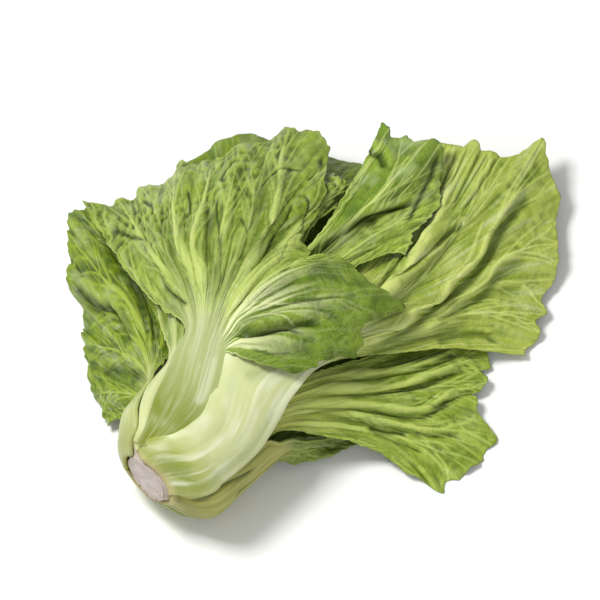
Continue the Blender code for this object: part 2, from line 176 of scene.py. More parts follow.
def stalkPoint(leaf, place, share):
    # a point of the stalk's outer face, and how thick the stalk is there
    stations = np.array(leaf["stations"], float)
    left, right, depth, thickness = spline(stations[:, 0], stations[:, 1:], place)
    outline = np.array(bundle["outline"], float)
    halfWidth, halfHeight, side = spline(outline[:, 0], outline[:, 1:], place)
    angle = math.radians(left + (right - left) * share)
    across = side - (halfWidth - depth) * math.cos(angle)
    height = bundle["axisHeight"] + (halfHeight - depth) * math.sin(angle)
    arched = 1.0 - abs(2 * share - 1) ** growth["stalkArch"]
    edge = min(growth["stalkEdge"], thickness)
    return np.array([place, across, height]), edge + (thickness - edge) * arched


def ribRoute(start, heading, middle, end, count):
    # a smooth route from the stalk through a middle point to the rib's end
    middle = np.array(middle, float)
    end = np.array(end, float)
    first = np.linalg.norm(middle - start)
    turn = float(np.dot(heading, (middle - start) / first))
    heading = heading * first * np.clip(0.35 + 0.6 * turn, 0.15, 0.95)
    across = (end - start) * 0.5
    tail = 2.0 * (end - middle) - across
    route = []
    for k in range(1, count + 1):
        f = 2.0 * k / count
        if f <= 1.0:
            route.append(hermite(f, start, middle, heading, across))
        else:
            route.append(hermite(f - 1.0, middle, end, across, tail))
    return np.array(route)


def leafSheet(leaf):
    # the smooth outer face, as rows along the leaf and columns across it, with its thickness
    ribs = leaf["ribs"]
    stalkRows, bladeRows = leaf["rows"]
    columns = (len(ribs) - 1) * leaf["columnsAGap"] + 1
    across = np.linspace(0, len(ribs) - 1, columns)
    shares = spline(np.arange(len(ribs)), [rib[0] for rib in ribs], across)
    first, last = leaf["stations"][0][0], leaf["stations"][-1][0]
    points = []
    thick = []
    for row in range(stalkRows + 1):
        place = first + (last - first) * (row / stalkRows) ** growth["rowSpread"]
        pairs = [stalkPoint(leaf, place, share) for share in shares]
        points.append([pair[0] for pair in pairs])
        thick.append([pair[1] for pair in pairs])
    routes = []
    for share, middle, end in ribs:
        start = stalkPoint(leaf, last, share)[0]
        heading = start - stalkPoint(leaf, last - 3.0, share)[0]
        heading /= np.linalg.norm(heading)
        routes.append(ribRoute(start, heading, middle, end, bladeRows))
    routes = np.array(routes)
    neck = np.array(thick[-1])
    for row in range(bladeRows):
        u = (row + 1) / bladeRows
        points.append(spline(np.arange(len(ribs)), routes[:, row], across))
        thick.append(growth["bladeThickness"] + (neck - growth["bladeThickness"]) * (1 - u) ** 3)
    return np.array(points), np.array(thick), across


def sheetNormals(points):
    along = np.gradient(points, axis=0)
    sideways = np.gradient(points, axis=1)
    return unit(np.cross(sideways, along))


def shapeLeaf(leaf):
    # the inner face with its flutes, waved rim and teeth, the plain thickness and the solid's ridges
    points, thick, across = leafSheet(leaf)
    stalkRows, bladeRows = leaf["rows"]
    onRib = 0.5 + 0.5 * np.cos(2 * math.pi * across)
    u = np.clip((np.arange(len(points)) - stalkRows) / bladeRows, -1.0, 1.0)[:, None]
    blade = np.clip(u, 0.0, 1.0)
    spacing = np.linalg.norm(np.gradient(points, axis=1), axis=2) * leaf["columnsAGap"]
    height = np.minimum(leaf["ribHeight"], growth["ribSlope"] * spacing)
    fading = 1 - (1 - growth["ribAtRim"]) * blade
    ridge = height * smoothStep(-0.9, 0.15, u) * fading * (onRib[None, :] ** 1.5)
    flute = leaf["flute"] * smoothStep(0.05, 0.6, blade) * (onRib[None, :] - 0.5)
    turns = 2 * math.pi * across
    wave = leaf["wave"] * blade**2.2 * np.sin(growth["rimWave"] * turns + growth["rimWaveStart"])[None, :]
    reach = np.linalg.norm(points[-1] - points[stalkRows], axis=1)
    longRib = np.clip(reach / growth["wavedRib"], 0.0, 1.0)
    points = points + sheetNormals(points) * ((flute + wave) * longRib - thick)[:, :, None]
    tooth = leaf["tooth"] * 0.5 * (np.cos(turns) + np.sin(growth["fineTeeth"] * turns))
    points[-1] += unit(points[-1] - points[-2]) * (tooth * longRib)[:, None]
    return points, thick, ridge


def outerFace(points, thick):
    return points + sheetNormals(points) * thick[:, :, None]


def readAt(points, i, j):
    # the sheet read at places between its rows and columns
    i0 = np.minimum(i.astype(int), points.shape[0] - 2)
    j0 = np.minimum(j.astype(int), points.shape[1] - 2)
    f, g = (i - i0)[..., None], (j - j0)[..., None]
    low = (1 - g) * points[i0, j0] + g * points[i0, j0 + 1]
    high = (1 - g) * points[i0 + 1, j0] + g * points[i0 + 1, j0 + 1]
    return (1 - f) * low + f * high


def neighbours(field):
    # the sum of the four values beside each one
    wide = np.pad(field, 1, mode="edge")
    return wide[:-2, 1:-1] + wide[2:, 1:-1] + wide[1:-1, :-2] + wide[1:-1, 2:]


def blur(field, passes):
    for _ in range(passes):
        field = (neighbours(field) + 4 * field) / 8
    return field


def mapCells(points, grid):
    cell = ((points[..., :2] - np.array(grid["low"])) / grid["cell"]).astype(int)
    return np.clip(cell[..., 0], 0, grid["cells"][0] - 1), np.clip(cell[..., 1], 0, grid["cells"][1] - 1)


def addToMap(heights, points, grid, steps):
    # raises the map where the sheet, read that many times finer, stands higher
    rows, columns = points.shape[:2]
    i = np.linspace(0, rows - 1, (rows - 1) * steps + 1)[:, None]
    j = np.linspace(0, columns - 1, (columns - 1) * steps + 1)[None, :]
    fine = readAt(points, i, j).reshape(-1, 3)
    i, j = mapCells(fine, grid)
    np.maximum.at(heights, (i, j), fine[:, 2])


def settle(points, thick, heights, grid, neck):
    # lifts the blade smoothly where it would touch what lies under it
    lowest = np.minimum(points[:, :, 2], outerFace(points, thick)[:, :, 2])
    wide = heights.copy()
    for di in range(-grid["spread"], grid["spread"] + 1):
        for dj in range(-grid["spread"], grid["spread"] + 1):
            wide = np.maximum(wide, np.roll(np.roll(heights, di, axis=0), dj, axis=1))
    i, j = mapCells(points, grid)
    need = np.maximum(wide[i, j] + grid["gap"] - lowest, growth["floorGap"] - lowest)
    level = smoothStep(0.15, 0.55, np.abs(sheetNormals(points)[:, :, 2]))
    weight = smoothStep(0.02, 0.3, neck)[:, None] * level
    need = np.maximum(need, 0.0) * weight
    lift = need.copy()
    for _ in range(grid["passes"]):
        lift = np.maximum(need, neighbours(lift) / 4 * weight)
    points = points.copy()
    points[:, :, 2] += lift
    return points


def refine(grid, rowAt, columnAt):
    # the coarse grid read smoothly at many more rows and columns
    along = spline(np.arange(grid.shape[0]), grid, rowAt)
    return spline(np.arange(grid.shape[1]), along.swapaxes(0, 1), columnAt).swapaxes(0, 1)


def veinLines(leaf):
    # side veins that leave the ribs at a slant and fork: places up the blade, places across, width
    ribs = len(leaf["ribs"])
    lines = []
    rng = np.random.default_rng(leaf["seed"])
    for k in range(ribs):
        us, across = ribLine(leaf, k)
        for side in (-1, 1):
            if not 0 <= k + side < ribs:
                continue
            for branch in range(leaf["branches"]):
                place = branch + rng.uniform(0, sideVein["uneven"])
                start = sideVein["from"] + place * sideVein["span"] / leaf["branches"]
                length = rng.uniform(*sideVein["length"])
                reach = rng.uniform(*sideVein["reach"])
                f = np.linspace(0, 1, 7)
                u = start + length * f
                a = np.interp(u, us, across) + side * reach * (f**0.85 + 0.04 * np.sin(9 * f + start * 40))
                thin = leaf["branchWidth"] * rng.uniform(*sideVein["width"])
                lines.append((u, a, thin))
                for fork in sideVein["forksAt"]:
                    if rng.uniform() < sideVein["noFork"]:
                        continue
                    turn = side * rng.choice((-1, 1))
                    v = u[0] + length * (fork + 0.5 * f)
                    b = np.interp(u[0] + length * fork, u, a) + turn * rng.uniform(*sideVein["forkReach"]) * f
                    lines.append((v, b, sideVein["forkWidth"] * thin))
    return lines


def ribLine(leaf, k):
    # where rib k runs: places up the blade and places across
    bent = leaf.get("bends", {}).get(k)
    if bent is None:
        return np.array([-1.0, 1.0]), np.array([k, k], float)
    us, across = np.array(bent, float).T
    fine = np.linspace(us[0], us[-1], 24)
    return fine, spline(us, across, fine)


def routeOn(sheet, path):
    # a smooth route over the leaf through places given as (up the blade, across): its points and places
    points = sheet.points
    path = np.array(path, float)
    at = spline(np.arange(len(path)), path, np.linspace(0, len(path) - 1, 5 * len(path)))
    i = np.interp(at[:, 0], sheet.u, np.arange(len(sheet.u)))
    j = np.clip(at[:, 1] / sheet.last, 0, 1) * (points.shape[1] - 1)
    return readAt(points, i, j), at


def fromRoute(sheet, route, at):
    # signed distance of every point to a route, left positive, and its share of the way along it
    marks = np.concatenate([[0.0], np.cumsum(np.linalg.norm(np.diff(route, axis=0), axis=1))])
    best = np.full(sheet.spacing.shape, 1e6)
    along = np.zeros_like(best)
    side = np.ones_like(best)
    heading = np.gradient(at, axis=0)
    for k in range(len(route) - 1):
        run = route[k + 1] - route[k]
        if np.dot(run, run) < 1e-6:
            continue
        f = np.clip((sheet.points - route[k]) @ run / np.dot(run, run), 0, 1)
        d = np.linalg.norm(sheet.points - route[k] - f[:, :, None] * run, axis=2)
        up = (sheet.up - at[k, 0] - f * (at[k + 1, 0] - at[k, 0])) * sheet.length
        over = (sheet.over - at[k, 1] - f * (at[k + 1, 1] - at[k, 1])) * sheet.spacing
        # a place may be near in space but far along the sheet, on another layer of a fold
        d = np.maximum(d, 0.45 * np.hypot(up, over))
        toUp = (heading[k, 0] + f * (heading[k + 1, 0] - heading[k, 0])) * sheet.length
        toOver = (heading[k, 1] + f * (heading[k + 1, 1] - heading[k, 1])) * sheet.spacing
        near = d < best
        best = np.where(near, d, best)
        along = np.where(near, (marks[k] + (marks[k + 1] - marks[k]) * f) / marks[-1], along)
        side = np.where(near, np.where(toUp * over > toOver * up, -1.0, 1.0), side)
    return best * side, along


def creases(x, y, size, seed):
    # sharp folds in all directions, as in crumpled paper, from 0 to 1
    total = 0 * x
    for k in range(5):
        angle = 2.4 * k + seed
        warp = 1.1 * noise(x / (1.9 * size) + 5 * k, y / (1.9 * size), seed + k)
        phase = (x * math.cos(angle) + y * math.sin(angle)) / (size * (1 + 0.22 * k)) + warp
        total = total + np.abs(2 * (phase - np.floor(phase)) - 1)
    return total / 5


def tuckStalk(leaf, points, u, a):
    # spreads the stalk's margins under its neighbours, so that no gap shows between them
    normals = sheetNormals(points)
    for edge, reach, sink, top in leaf.get("tuck", []):
        beside = leaf["fine"][2] if edge == 0 else -1 - leaf["fine"][2]
        outward = unit(points[:, edge] - points[:, beside])
        near = smoothStep(1.0, 0.0, (a if edge == 0 else a[-1] - a))[None, :, None]
        down = smoothStep(top, top - 0.12, u)[:, None, None]
        points = points + near * down * reach * outward[:, None] - near**1.5 * down * sink * normals
    return points


def closeBase(leaf, points):
    # the outer stalks end at the knife cut: their first millimetres draw in to the rim of the cut face
    if not leaf.get("cutOff"):
        return points
    turn = math.radians(stem["turn"])
    middle = np.array(stem["place"])
    y = points[:, :, 1] - middle[1]
    z = points[:, :, 2] - middle[2]
    angle = np.arctan2(z, y / math.cos(turn))
    side = growth["cutRim"] * np.cos(angle)
    rim = np.stack([
        middle[0] + 0.5 - side * math.sin(turn),
        middle[1] + side * math.cos(turn),
        middle[2] + growth["cutRim"] * np.sin(angle),
    ], axis=2)
    near = smoothStep(*growth["cutFrom"], points[:, :, 0])[:, :, None]
    return points + (rim - points) * near


def spreadSheet(leaf, coarse, coarseThick):
    # the finer net: its points and thickness, where each row and column lies, and distances in millimetres
    stalkRows, bladeRows = leaf["rows"]
    stalkFine, bladeFine, columnFine = leaf["fine"]
    low = np.linspace(0, stalkRows, stalkRows * stalkFine, endpoint=False)
    high = np.linspace(stalkRows, stalkRows + bladeRows, bladeRows * bladeFine + 1)
    rowAt = np.concatenate([low, high])
    columns = coarse.shape[1]
    columnAt = np.linspace(0, columns - 1, (columns - 1) * columnFine + 1)
    u = (rowAt - stalkRows) / bladeRows
    a = columnAt / leaf["columnsAGap"]
    points = closeBase(leaf, tuckStalk(leaf, refine(coarse, rowAt, columnAt), u, a))
    step = np.linalg.norm(np.diff(points, axis=1), axis=2)
    x = np.concatenate([np.zeros((len(u), 1)), np.cumsum(step, axis=1)], axis=1)
    step = np.linalg.norm(np.diff(points, axis=0), axis=2)
    y = np.concatenate([np.zeros((1, len(a))), np.cumsum(step, axis=0)], axis=0)
    rimStep = np.linalg.norm(np.diff(points[-1], axis=0), axis=1)
    neckRow = stalkRows * stalkFine
    return SimpleNamespace(
        points=points,
        thick=refine(coarseThick[:, :, None], rowAt, columnAt)[:, :, 0],
        normals=sheetNormals(points),
        u=u,
        a=a,
        last=a[-1],
        neckRow=neckRow,
        # the same places as a column and a row, to work on the whole sheet at once
        up=u[:, None],
        over=a[None, :],
        stalk=np.clip(rowAt / max(stalkRows, 1), 0, 1)[:, None],
        # millimetres across from the middle, up from the neck and along the rim
        x=x - x[:, [len(a) // 2]],
        y=y - y[[neckRow]],
        around=np.concatenate([[0], np.cumsum(rimStep)]),
        # millimetres from rib to rib, and from neck to rim
        spacing=np.maximum(np.linalg.norm(np.gradient(points, a, axis=1), axis=2), 0.5),
        length=np.maximum(np.linalg.norm(np.gradient(points, u, axis=0), axis=2), 5.0),
    )


def mainRibs(leaf, sheet):
    # broad and low at the neck, narrow and sharp toward the rim: how pale and how high
    up, spacing = sheet.up, sheet.spacing
    rib = np.zeros_like(spacing)
    ridge = np.zeros_like(spacing)
    for k, width in enumerate(leaf["ribWidths"]):
        line = np.interp(up, *ribLine(leaf, k))
        slope = np.gradient(line[:, 0], sheet.u)[:, None]
        d = (sheet.over - line) * spacing / np.sqrt(1 + (slope * spacing / sheet.length) ** 2)
        thickRib = min(1.0, width / 9) ** 1.5
        stand = np.interp(up, bladeRun["ribAt"], [0.0, 0.5 * thickRib, 1.0, 0.9, 0.3])
        half = np.minimum(width * np.interp(up, *bladeRun["ribWidth"]) / 2, 0.48 * spacing)
        rise = np.minimum(leaf["ribRise"] * width * stand, 0.75 * half)
        ridge = np.maximum(ridge, rise * hump(d, 0.72 * half))
        pale = np.interp(up, bladeRun["paleAt"], [0.0, 0.35 + 0.65 * thickRib, 1.0, 0.85, 0.4])
        rib = np.maximum(rib, pale * smoothStep(1.35, 0.45, np.abs(d) / half) * min(1.0, 0.35 + width / 7))
    return rib, ridge


def sideVeins(leaf, sheet, ridge):
    # thinner toward their tips, and lower than the ribs, which they join
    vein = np.zeros_like(ridge)
    ridge = ridge.copy()
    for us, across, width in veinLines(leaf):
        rows = slice(*np.searchsorted(sheet.u, (us[0] - 0.03, us[-1] + 0.03)))
        left, right = np.searchsorted(sheet.a, (across.min() - 0.3, across.max() + 0.3))
        if rows.stop - rows.start < 2 or right - left < 2:
            continue
        spot = (rows, slice(left, right))
        up, spacing = sheet.up[rows], sheet.spacing[spot]
        line = np.interp(up, us, across)
        slope = np.gradient(line[:, 0], sheet.u[rows])[:, None]
        slant = np.sqrt(1 + (slope * spacing / sheet.length[spot]) ** 2)
        d = (sheet.over[:, left:right] - line) * spacing / slant
        run = np.clip((up - us[0]) / (us[-1] - us[0]), 0, 1)
        half = width / 2 * (1.2 - 0.7 * run) + 0.2
        ends = smoothStep(us[0] - 0.02, us[0] + 0.03, up) * (1 - smoothStep(us[-1] - 0.06, us[-1], up))
        stand = hump(d, half) * ends
        vein[spot] = np.maximum(vein[spot], stand * min(1.0, 0.5 + width / 3))
        ridge[spot] = np.maximum(ridge[spot], 0.45 * width * (1.1 - 0.6 * run) * stand)
    return vein, ridge


def softRelief(leaf, sheet, rib, turned):
    # furrows that fan out with the ribs, blisters between the veins, crumpled patches and a frilled rim
    up, over, x, y, spacing = sheet.up, sheet.over, sheet.x, sheet.y, sheet.spacing
    seed = leaf["seed"]
    loose = 1 - 0.8 * rib
    patch = smoothStep(-0.35, 0.35, layeredNoise(x / 34, y / 30, seed + 41))
    tall, fan, stretch, atRim = leaf["furrow"]
    furrow = tall * noise(over * fan + 0.4 * noise(over * 2, y / 30, seed), y / stretch, seed + 1)
    furrow *= smoothStep(0.02, 0.25, up) * np.minimum(1.0, spacing / 9) * loose
    furrow *= 1 - (1 - atRim) * smoothStep(0.5, 0.85, up)
    tall, fan, stretch, start = leaf["pucker"]
    bend = 0.45 * noise(over * fan * 0.6, y / stretch / 1.3, seed + 3)
    border = cellBorder(over * fan + bend, y / stretch + bend, seed)
    blister = tall * (smoothStep(0.0, 0.6, border) - 0.6) * smoothStep(start, start + 0.35, up) * loose
    blister *= (0.45 + 0.55 * patch) * np.minimum(1.0, spacing / 9)
    tall, fan, stretch = leaf["swell"]
    swell = tall * layeredNoise(over * fan, y / stretch, seed + 5) * smoothStep(0.0, 0.5, up)
    tall, size, start = leaf["crumple"]
    crumple = creases(x, y, size, seed + 9) - 0.5 + 0.45 * (creases(x, y, 0.45 * size, seed + 10) - 0.5)
    crumple *= 2 * tall * smoothStep(start, start + 0.35, up) * loose * patch
    along = sheet.around + 0 * y
    frill = 1.2 * noise(along / 13, y / 60, seed + 2) + 0.7 * noise(along / 6, y / 35, seed + 4)
    ruffle = leaf["ruffle"] * smoothStep(0.62, 1.0, up) ** 1.5 * frill
    for place, wide, share in leaf.get("calm", []):
        still = 1 - share * hump(over - place, wide)
        crumple = crumple * still
        ruffle = ruffle * still
    # where the sheet already bends sharply the relief is kept low, or it would fold through itself
    bent = np.linalg.norm(np.gradient(sheet.normals, sheet.a, axis=1), axis=2) / spacing
    relief = ((furrow + blister + crumple + ruffle) * (1 - 0.7 * turned) + swell) / (1 + (5 * bent) ** 2)
    # the stalk is smooth, with a few soft waves along it
    stalkWave = leaf["stalkWave"] * noise(over * 0.45 + 0.2, y / 70, seed + 51)
    return relief + stalkWave * smoothStep(0.25, -0.1, up)


def singleForms(leaf, sheet, relief, rib):
    # folds, grooves and raised runs, each along its own route; deep says where light hardly reaches, and
    # there the finish paints shade
    deep = np.zeros_like(relief)
    for path, tall, left, right, dip, dark, pale in leaf.get("forms", []):
        d, along = fromRoute(sheet, *routeOn(sheet, path))
        span = smoothStep(0.0, 0.16, along) * smoothStep(1.0, 0.84, along)
        top = hump(d, np.where(d > 0, left, right) * np.interp(along, *bladeRun["foldNarrows"]))
        steep = left if dip > 0 else right
        trough = hump(d * np.sign(dip) - 1.9 * steep, steep) if dip else 0 * d
        relief = relief + tall * span * (top - abs(dip) * trough)
        deep = np.maximum(deep, dark * span * (trough if dip else top))
        rib = np.maximum(rib, pale * span * hump(d, 0.6 * min(left, right)))
    return blur(relief, surface["reliefBlur"]), rib, deep


def toothedRim(leaf, sheet):
    # teeth at the tips and along both side margins
    points, seed = sheet.points, leaf["seed"]
    bladeFine, columnFine = leaf["fine"][1:]
    around, flat = sheet.around, 0 * sheet.around
    outward = unit(points[-1] - points[-1 - 2 * bladeFine])
    uneven = around / leaf["toothLength"] + 0.3 * noise(around / 14, flat, seed + 22)
    saw = leaf["teeth"] * (
        0.5 * layeredNoise(around / 9, flat, seed + 21)
        + 0.45 * np.abs(uneven % 1 - 0.5)
        + 0.6 * noise(around / 26, flat, seed + 23)
        + 0.22 * noise(around / 3.1, flat, seed + 24)
        - 0.1
    )
    for place, wide, far in leaf.get("lobes", []):
        saw = saw + far * hump(sheet.a - place, wide)
    reach = np.clip(np.linalg.norm(points[-1] - points[sheet.neckRow], axis=1) / 60, 0.3, 1)
    atTips = smoothStep(0.8, 1.0, sheet.up) ** 1.5
    points = points + outward[None] * (saw * reach)[None, :, None] * atTips[:, :, None]
    for side, edge in ((-1, 0), (1, -1)):
        outward = unit(points[:, edge] - points[:, 2 * columnFine if edge == 0 else -1 - 2 * columnFine])
        run = sheet.y[:, edge]
        uneven = run / leaf["toothLength"] + 0.6 * noise(run / 13, 0 * run, seed + 33)
        saw = 0.6 * layeredNoise(run / 8, 0 * run, seed + 31 + side) + 0.4 * np.abs(uneven % 1 - 0.5) - 0.05
        saw = leaf["sideTeeth"] * saw * smoothStep(0.12, 0.3, sheet.u)
        near = smoothStep(1.0, 0.0, sheet.over if edge == 0 else sheet.last - sheet.over)
        points = points + outward[:, None] * (saw[:, None] * near)[:, :, None]
    return points


def turnedPart(leaf, sheet):
    # 1 where the leaf lies with its upper face to the outside
    if "turned" not in leaf:
        return 0 * sheet.up * sheet.over
    low, high, start = leaf["turned"]
    across = smoothStep(low, low + 0.35, sheet.over) * smoothStep(high, high - 0.35, sheet.over)
    return across * smoothStep(start, start + 0.1, sheet.up)


def fineLeaf(leaf, coarse, coarseThick, heights):
    # the finished outer and inner faces, and the fields that the finish reads
    sheet = spreadSheet(leaf, coarse, coarseThick)
    up, over, spacing, smooth = sheet.up, sheet.over, sheet.spacing, sheet.normals
    turned = turnedPart(leaf, sheet)
    rib, ridge = mainRibs(leaf, sheet)
    vein, ridge = sideVeins(leaf, sheet, ridge)
    relief = softRelief(leaf, sheet, rib, turned)
    ridge = ridge * (1 - 0.6 * turned)
    relief, rib, deep = singleForms(leaf, sheet, relief, rib)
    plain = toothedRim(leaf, sheet)
    points = plain + sheetNormals(plain) * relief[:, :, None]
    thick = growth["rimThickness"] + (sheet.thick - growth["rimThickness"]) * smoothStep(1.0, 0.93, up)
    settled = settle(points, thick + ridge, heights, fineMap, np.clip(sheet.u, 0, 1))
    points[:, :, 2] += blur(settled[:, :, 2] - points[:, :, 2], surface["liftBlur"])
    points[:, :, 2] = np.maximum(points[:, :, 2], growth["surfaceGap"] if leaf.get("onSurface") else 0.0)

    # where the relief overturns the sheet, the thickness follows the smooth sheet's own normal
    carved = sheetNormals(points)
    share = smoothStep(0.05, 0.35, up) * smoothStep(0.1, 0.6, np.sum(carved * smooth, axis=2))
    share = blur(share, 2)[:, :, None]
    facing = smooth * (1 - share) + carved * share
    facing = unit(np.stack([blur(facing[:, :, k], surface["facingBlur"]) for k in range(3)], axis=2))
    outer = points + facing * (thick + ridge)[:, :, None]
    outer[:, :, 2] = np.maximum(outer[:, :, 2], 0.0)
    addToMap(heights, outer, fineMap, 2)
    addToMap(heights, points, fineMap, 2)

    # hollow and proud: how far the face lies under or over its own mean; edge: near the rim or a margin
    form = np.sum((outer - plain) * smooth, axis=2) - thick
    hollow = blur(form, surface["formBlur"]) - form
    onStalk = 400 * (up < 0)
    toSides = np.minimum(over * spacing + onStalk, (sheet.last - over) * spacing + onStalk)
    toRim = np.minimum((1 - up) * sheet.length + onStalk, toSides)
    full = np.ones_like(spacing)
    fields = {
        "rib": rib,
        "vein": vein,
        "up": np.clip(up, 0, 1) * full,
        "stalk": sheet.stalk * full,
        "hollow": np.clip(hollow / surface["hollowAt"], 0, 1),
        "proud": np.clip(-hollow / surface["proudAt"], 0, 1),
        "deep": np.clip(deep, 0, 1),
        "edge": np.exp(-np.maximum(toRim, 0) / leaf["edgeWidth"]) * smoothStep(0.0, 0.28, up),
        "inside": turned * full,
    }
    return outer, points, fields, np.stack([sheet.x, sheet.y, over * full], axis=2)


def leafMesh(leaf, outer, inner, fields, place):
    # a closed skin: the fine outer face, an inner face of half as many rows and columns, and the rim
    rows, columns = outer.shape[:2]
    inner = inner[::2, ::2]
    innerRows, innerColumns = inner.shape[:2]
    base = rows * columns
    i, j = np.meshgrid(np.arange(rows - 1), np.arange(columns - 1), indexing="ij")
    corner = (i * columns + j).ravel()
    quads = np.stack([corner, corner + 1, corner + columns + 1, corner + columns], axis=1)
    i, j = np.meshgrid(np.arange(innerRows - 1), np.arange(innerColumns - 1), indexing="ij")
    corner = (base + i * innerColumns + j).ravel()
    under = np.stack([corner, corner + innerColumns, corner + innerColumns + 1, corner + 1], axis=1)

    def loop(r, c, start):
        # the vertices round a grid's border, in order
        grid = start + np.arange(r * c).reshape(r, c)
        return np.concatenate([grid[0, :-1], grid[:-1, -1], grid[-1, :0:-1], grid[:0:-1, 0]])

    fine = loop(rows, columns, 0)
    coarse = loop(innerRows, innerColumns, base)
    f0, f1, f2 = fine[0::2], fine[1::2], np.roll(fine, -2)[0::2]
    c0, c1 = coarse, np.roll(coarse, -1)
    rim = np.concatenate([np.stack(t, axis=1) for t in ((f1, f0, c0), (f1, c0, c1), (f2, f1, c1))])
    verts = np.concatenate([outer.reshape(-1, 3), inner.reshape(-1, 3)]) * mm
    mesh = bpy.data.meshes.new(leaf["name"])
    mesh.from_pydata(verts.tolist(), [], quads.tolist() + under.tolist() + rim.tolist())
    for name, field in fields.items():
        values = np.concatenate([field.ravel(), field[::2, ::2].ravel()])
        if name == "inside":
            values[base:] = 1 - values[base:]  # behind an underside lies an upper face
        mesh.attributes.new(name, "FLOAT", "POINT").data.foreach_set("value", values.astype(np.float32))
    at = np.concatenate([place.reshape(-1, 3), place[::2, ::2].reshape(-1, 3)]).astype(np.float32)
    mesh.attributes.new("leafAt", "FLOAT_VECTOR", "POINT").data.foreach_set("vector", at.ravel())
    flat = []
    for part, r, s in (("outer", rows, columns), ("inner", innerRows, innerColumns)):
        v, w = np.meshgrid(np.linspace(*bakeMap[part], r), np.linspace(*bakeMap["sides"], s), indexing="ij")
        flat.append(np.stack([w, v], axis=2).reshape(-1, 2))
    flat = np.concatenate(flat)
    layer = mesh.uv_layers.new(name="OFBake")
    loops = np.zeros(len(mesh.loops), np.int32)
    mesh.loops.foreach_get("vertex_index", loops)
    spots = flat[loops]
    start = 4 * (len(quads) + len(under))
    middle = np.array(bakeMap["middle"])
    edgeOf = dict(zip(coarse.tolist(), fine[0::2].tolist()))
    for k in range(start, len(loops)):
        if loops[k] >= base:
            near = flat[edgeOf[int(loops[k])]]
            spots[k] = near + (near - middle) * bakeMap["rimOut"]
    layer.uv.foreach_set("vector", spots.astype(np.float32).ravel())
    mesh.shade_smooth()
    piece = bpy.data.objects.new(leaf["name"], mesh)
    bpy.context.scene.collection.objects.link(piece)
    return piece


def addNode(tree, kind, settings=(), inputs=()):
    # one node with its settings and its inputs, each a socket to link or a value
    node = tree.nodes.new(kind)
    for name, value in dict(settings).items():
        setattr(node, name, value)
    for socket, value in dict(inputs).items():
        if isinstance(value, bpy.types.NodeSocket):
            tree.links.new(value, node.inputs[socket])
        else:
            node.inputs[socket].default_value = value
    return node


def startMaterial(name):
    # a new material, its tree and its shader
    material = bpy.data.materials.new(name)
    material.use_nodes = True
    return material, material.node_tree, material.node_tree.nodes["Principled BSDF"]


def mask(tree, share, parts, read):
    # parts multiplied: each a reading as it is, or with the two values between which it rises from 0 to 1
    soft = {"interpolation_type": "SMOOTHSTEP"}
    for name, *ends in parts:
        part = read[name]
        if ends:
            inputs = {"Value": part, "From Min": ends[0], "From Max": ends[1]}
            part = addNode(tree, "ShaderNodeMapRange", soft, inputs).outputs[0]
        share = addNode(tree, "ShaderNodeMath", {"operation": "MULTIPLY"}, {0: share, 1: part}).outputs[0]
    return share


def paint(tree, tone, layers, read, tones):
    # lays colours over one another: each layer's colour, its strength and the parts of its mask
    for colour, share, *parts in layers:
        inputs = {0: mask(tree, share, parts, read), 6: tone, 7: tones[colour]}
        tone = addNode(tree, "ShaderNodeMix", {"data_type": "RGBA"}, inputs).outputs[2]
    return tone


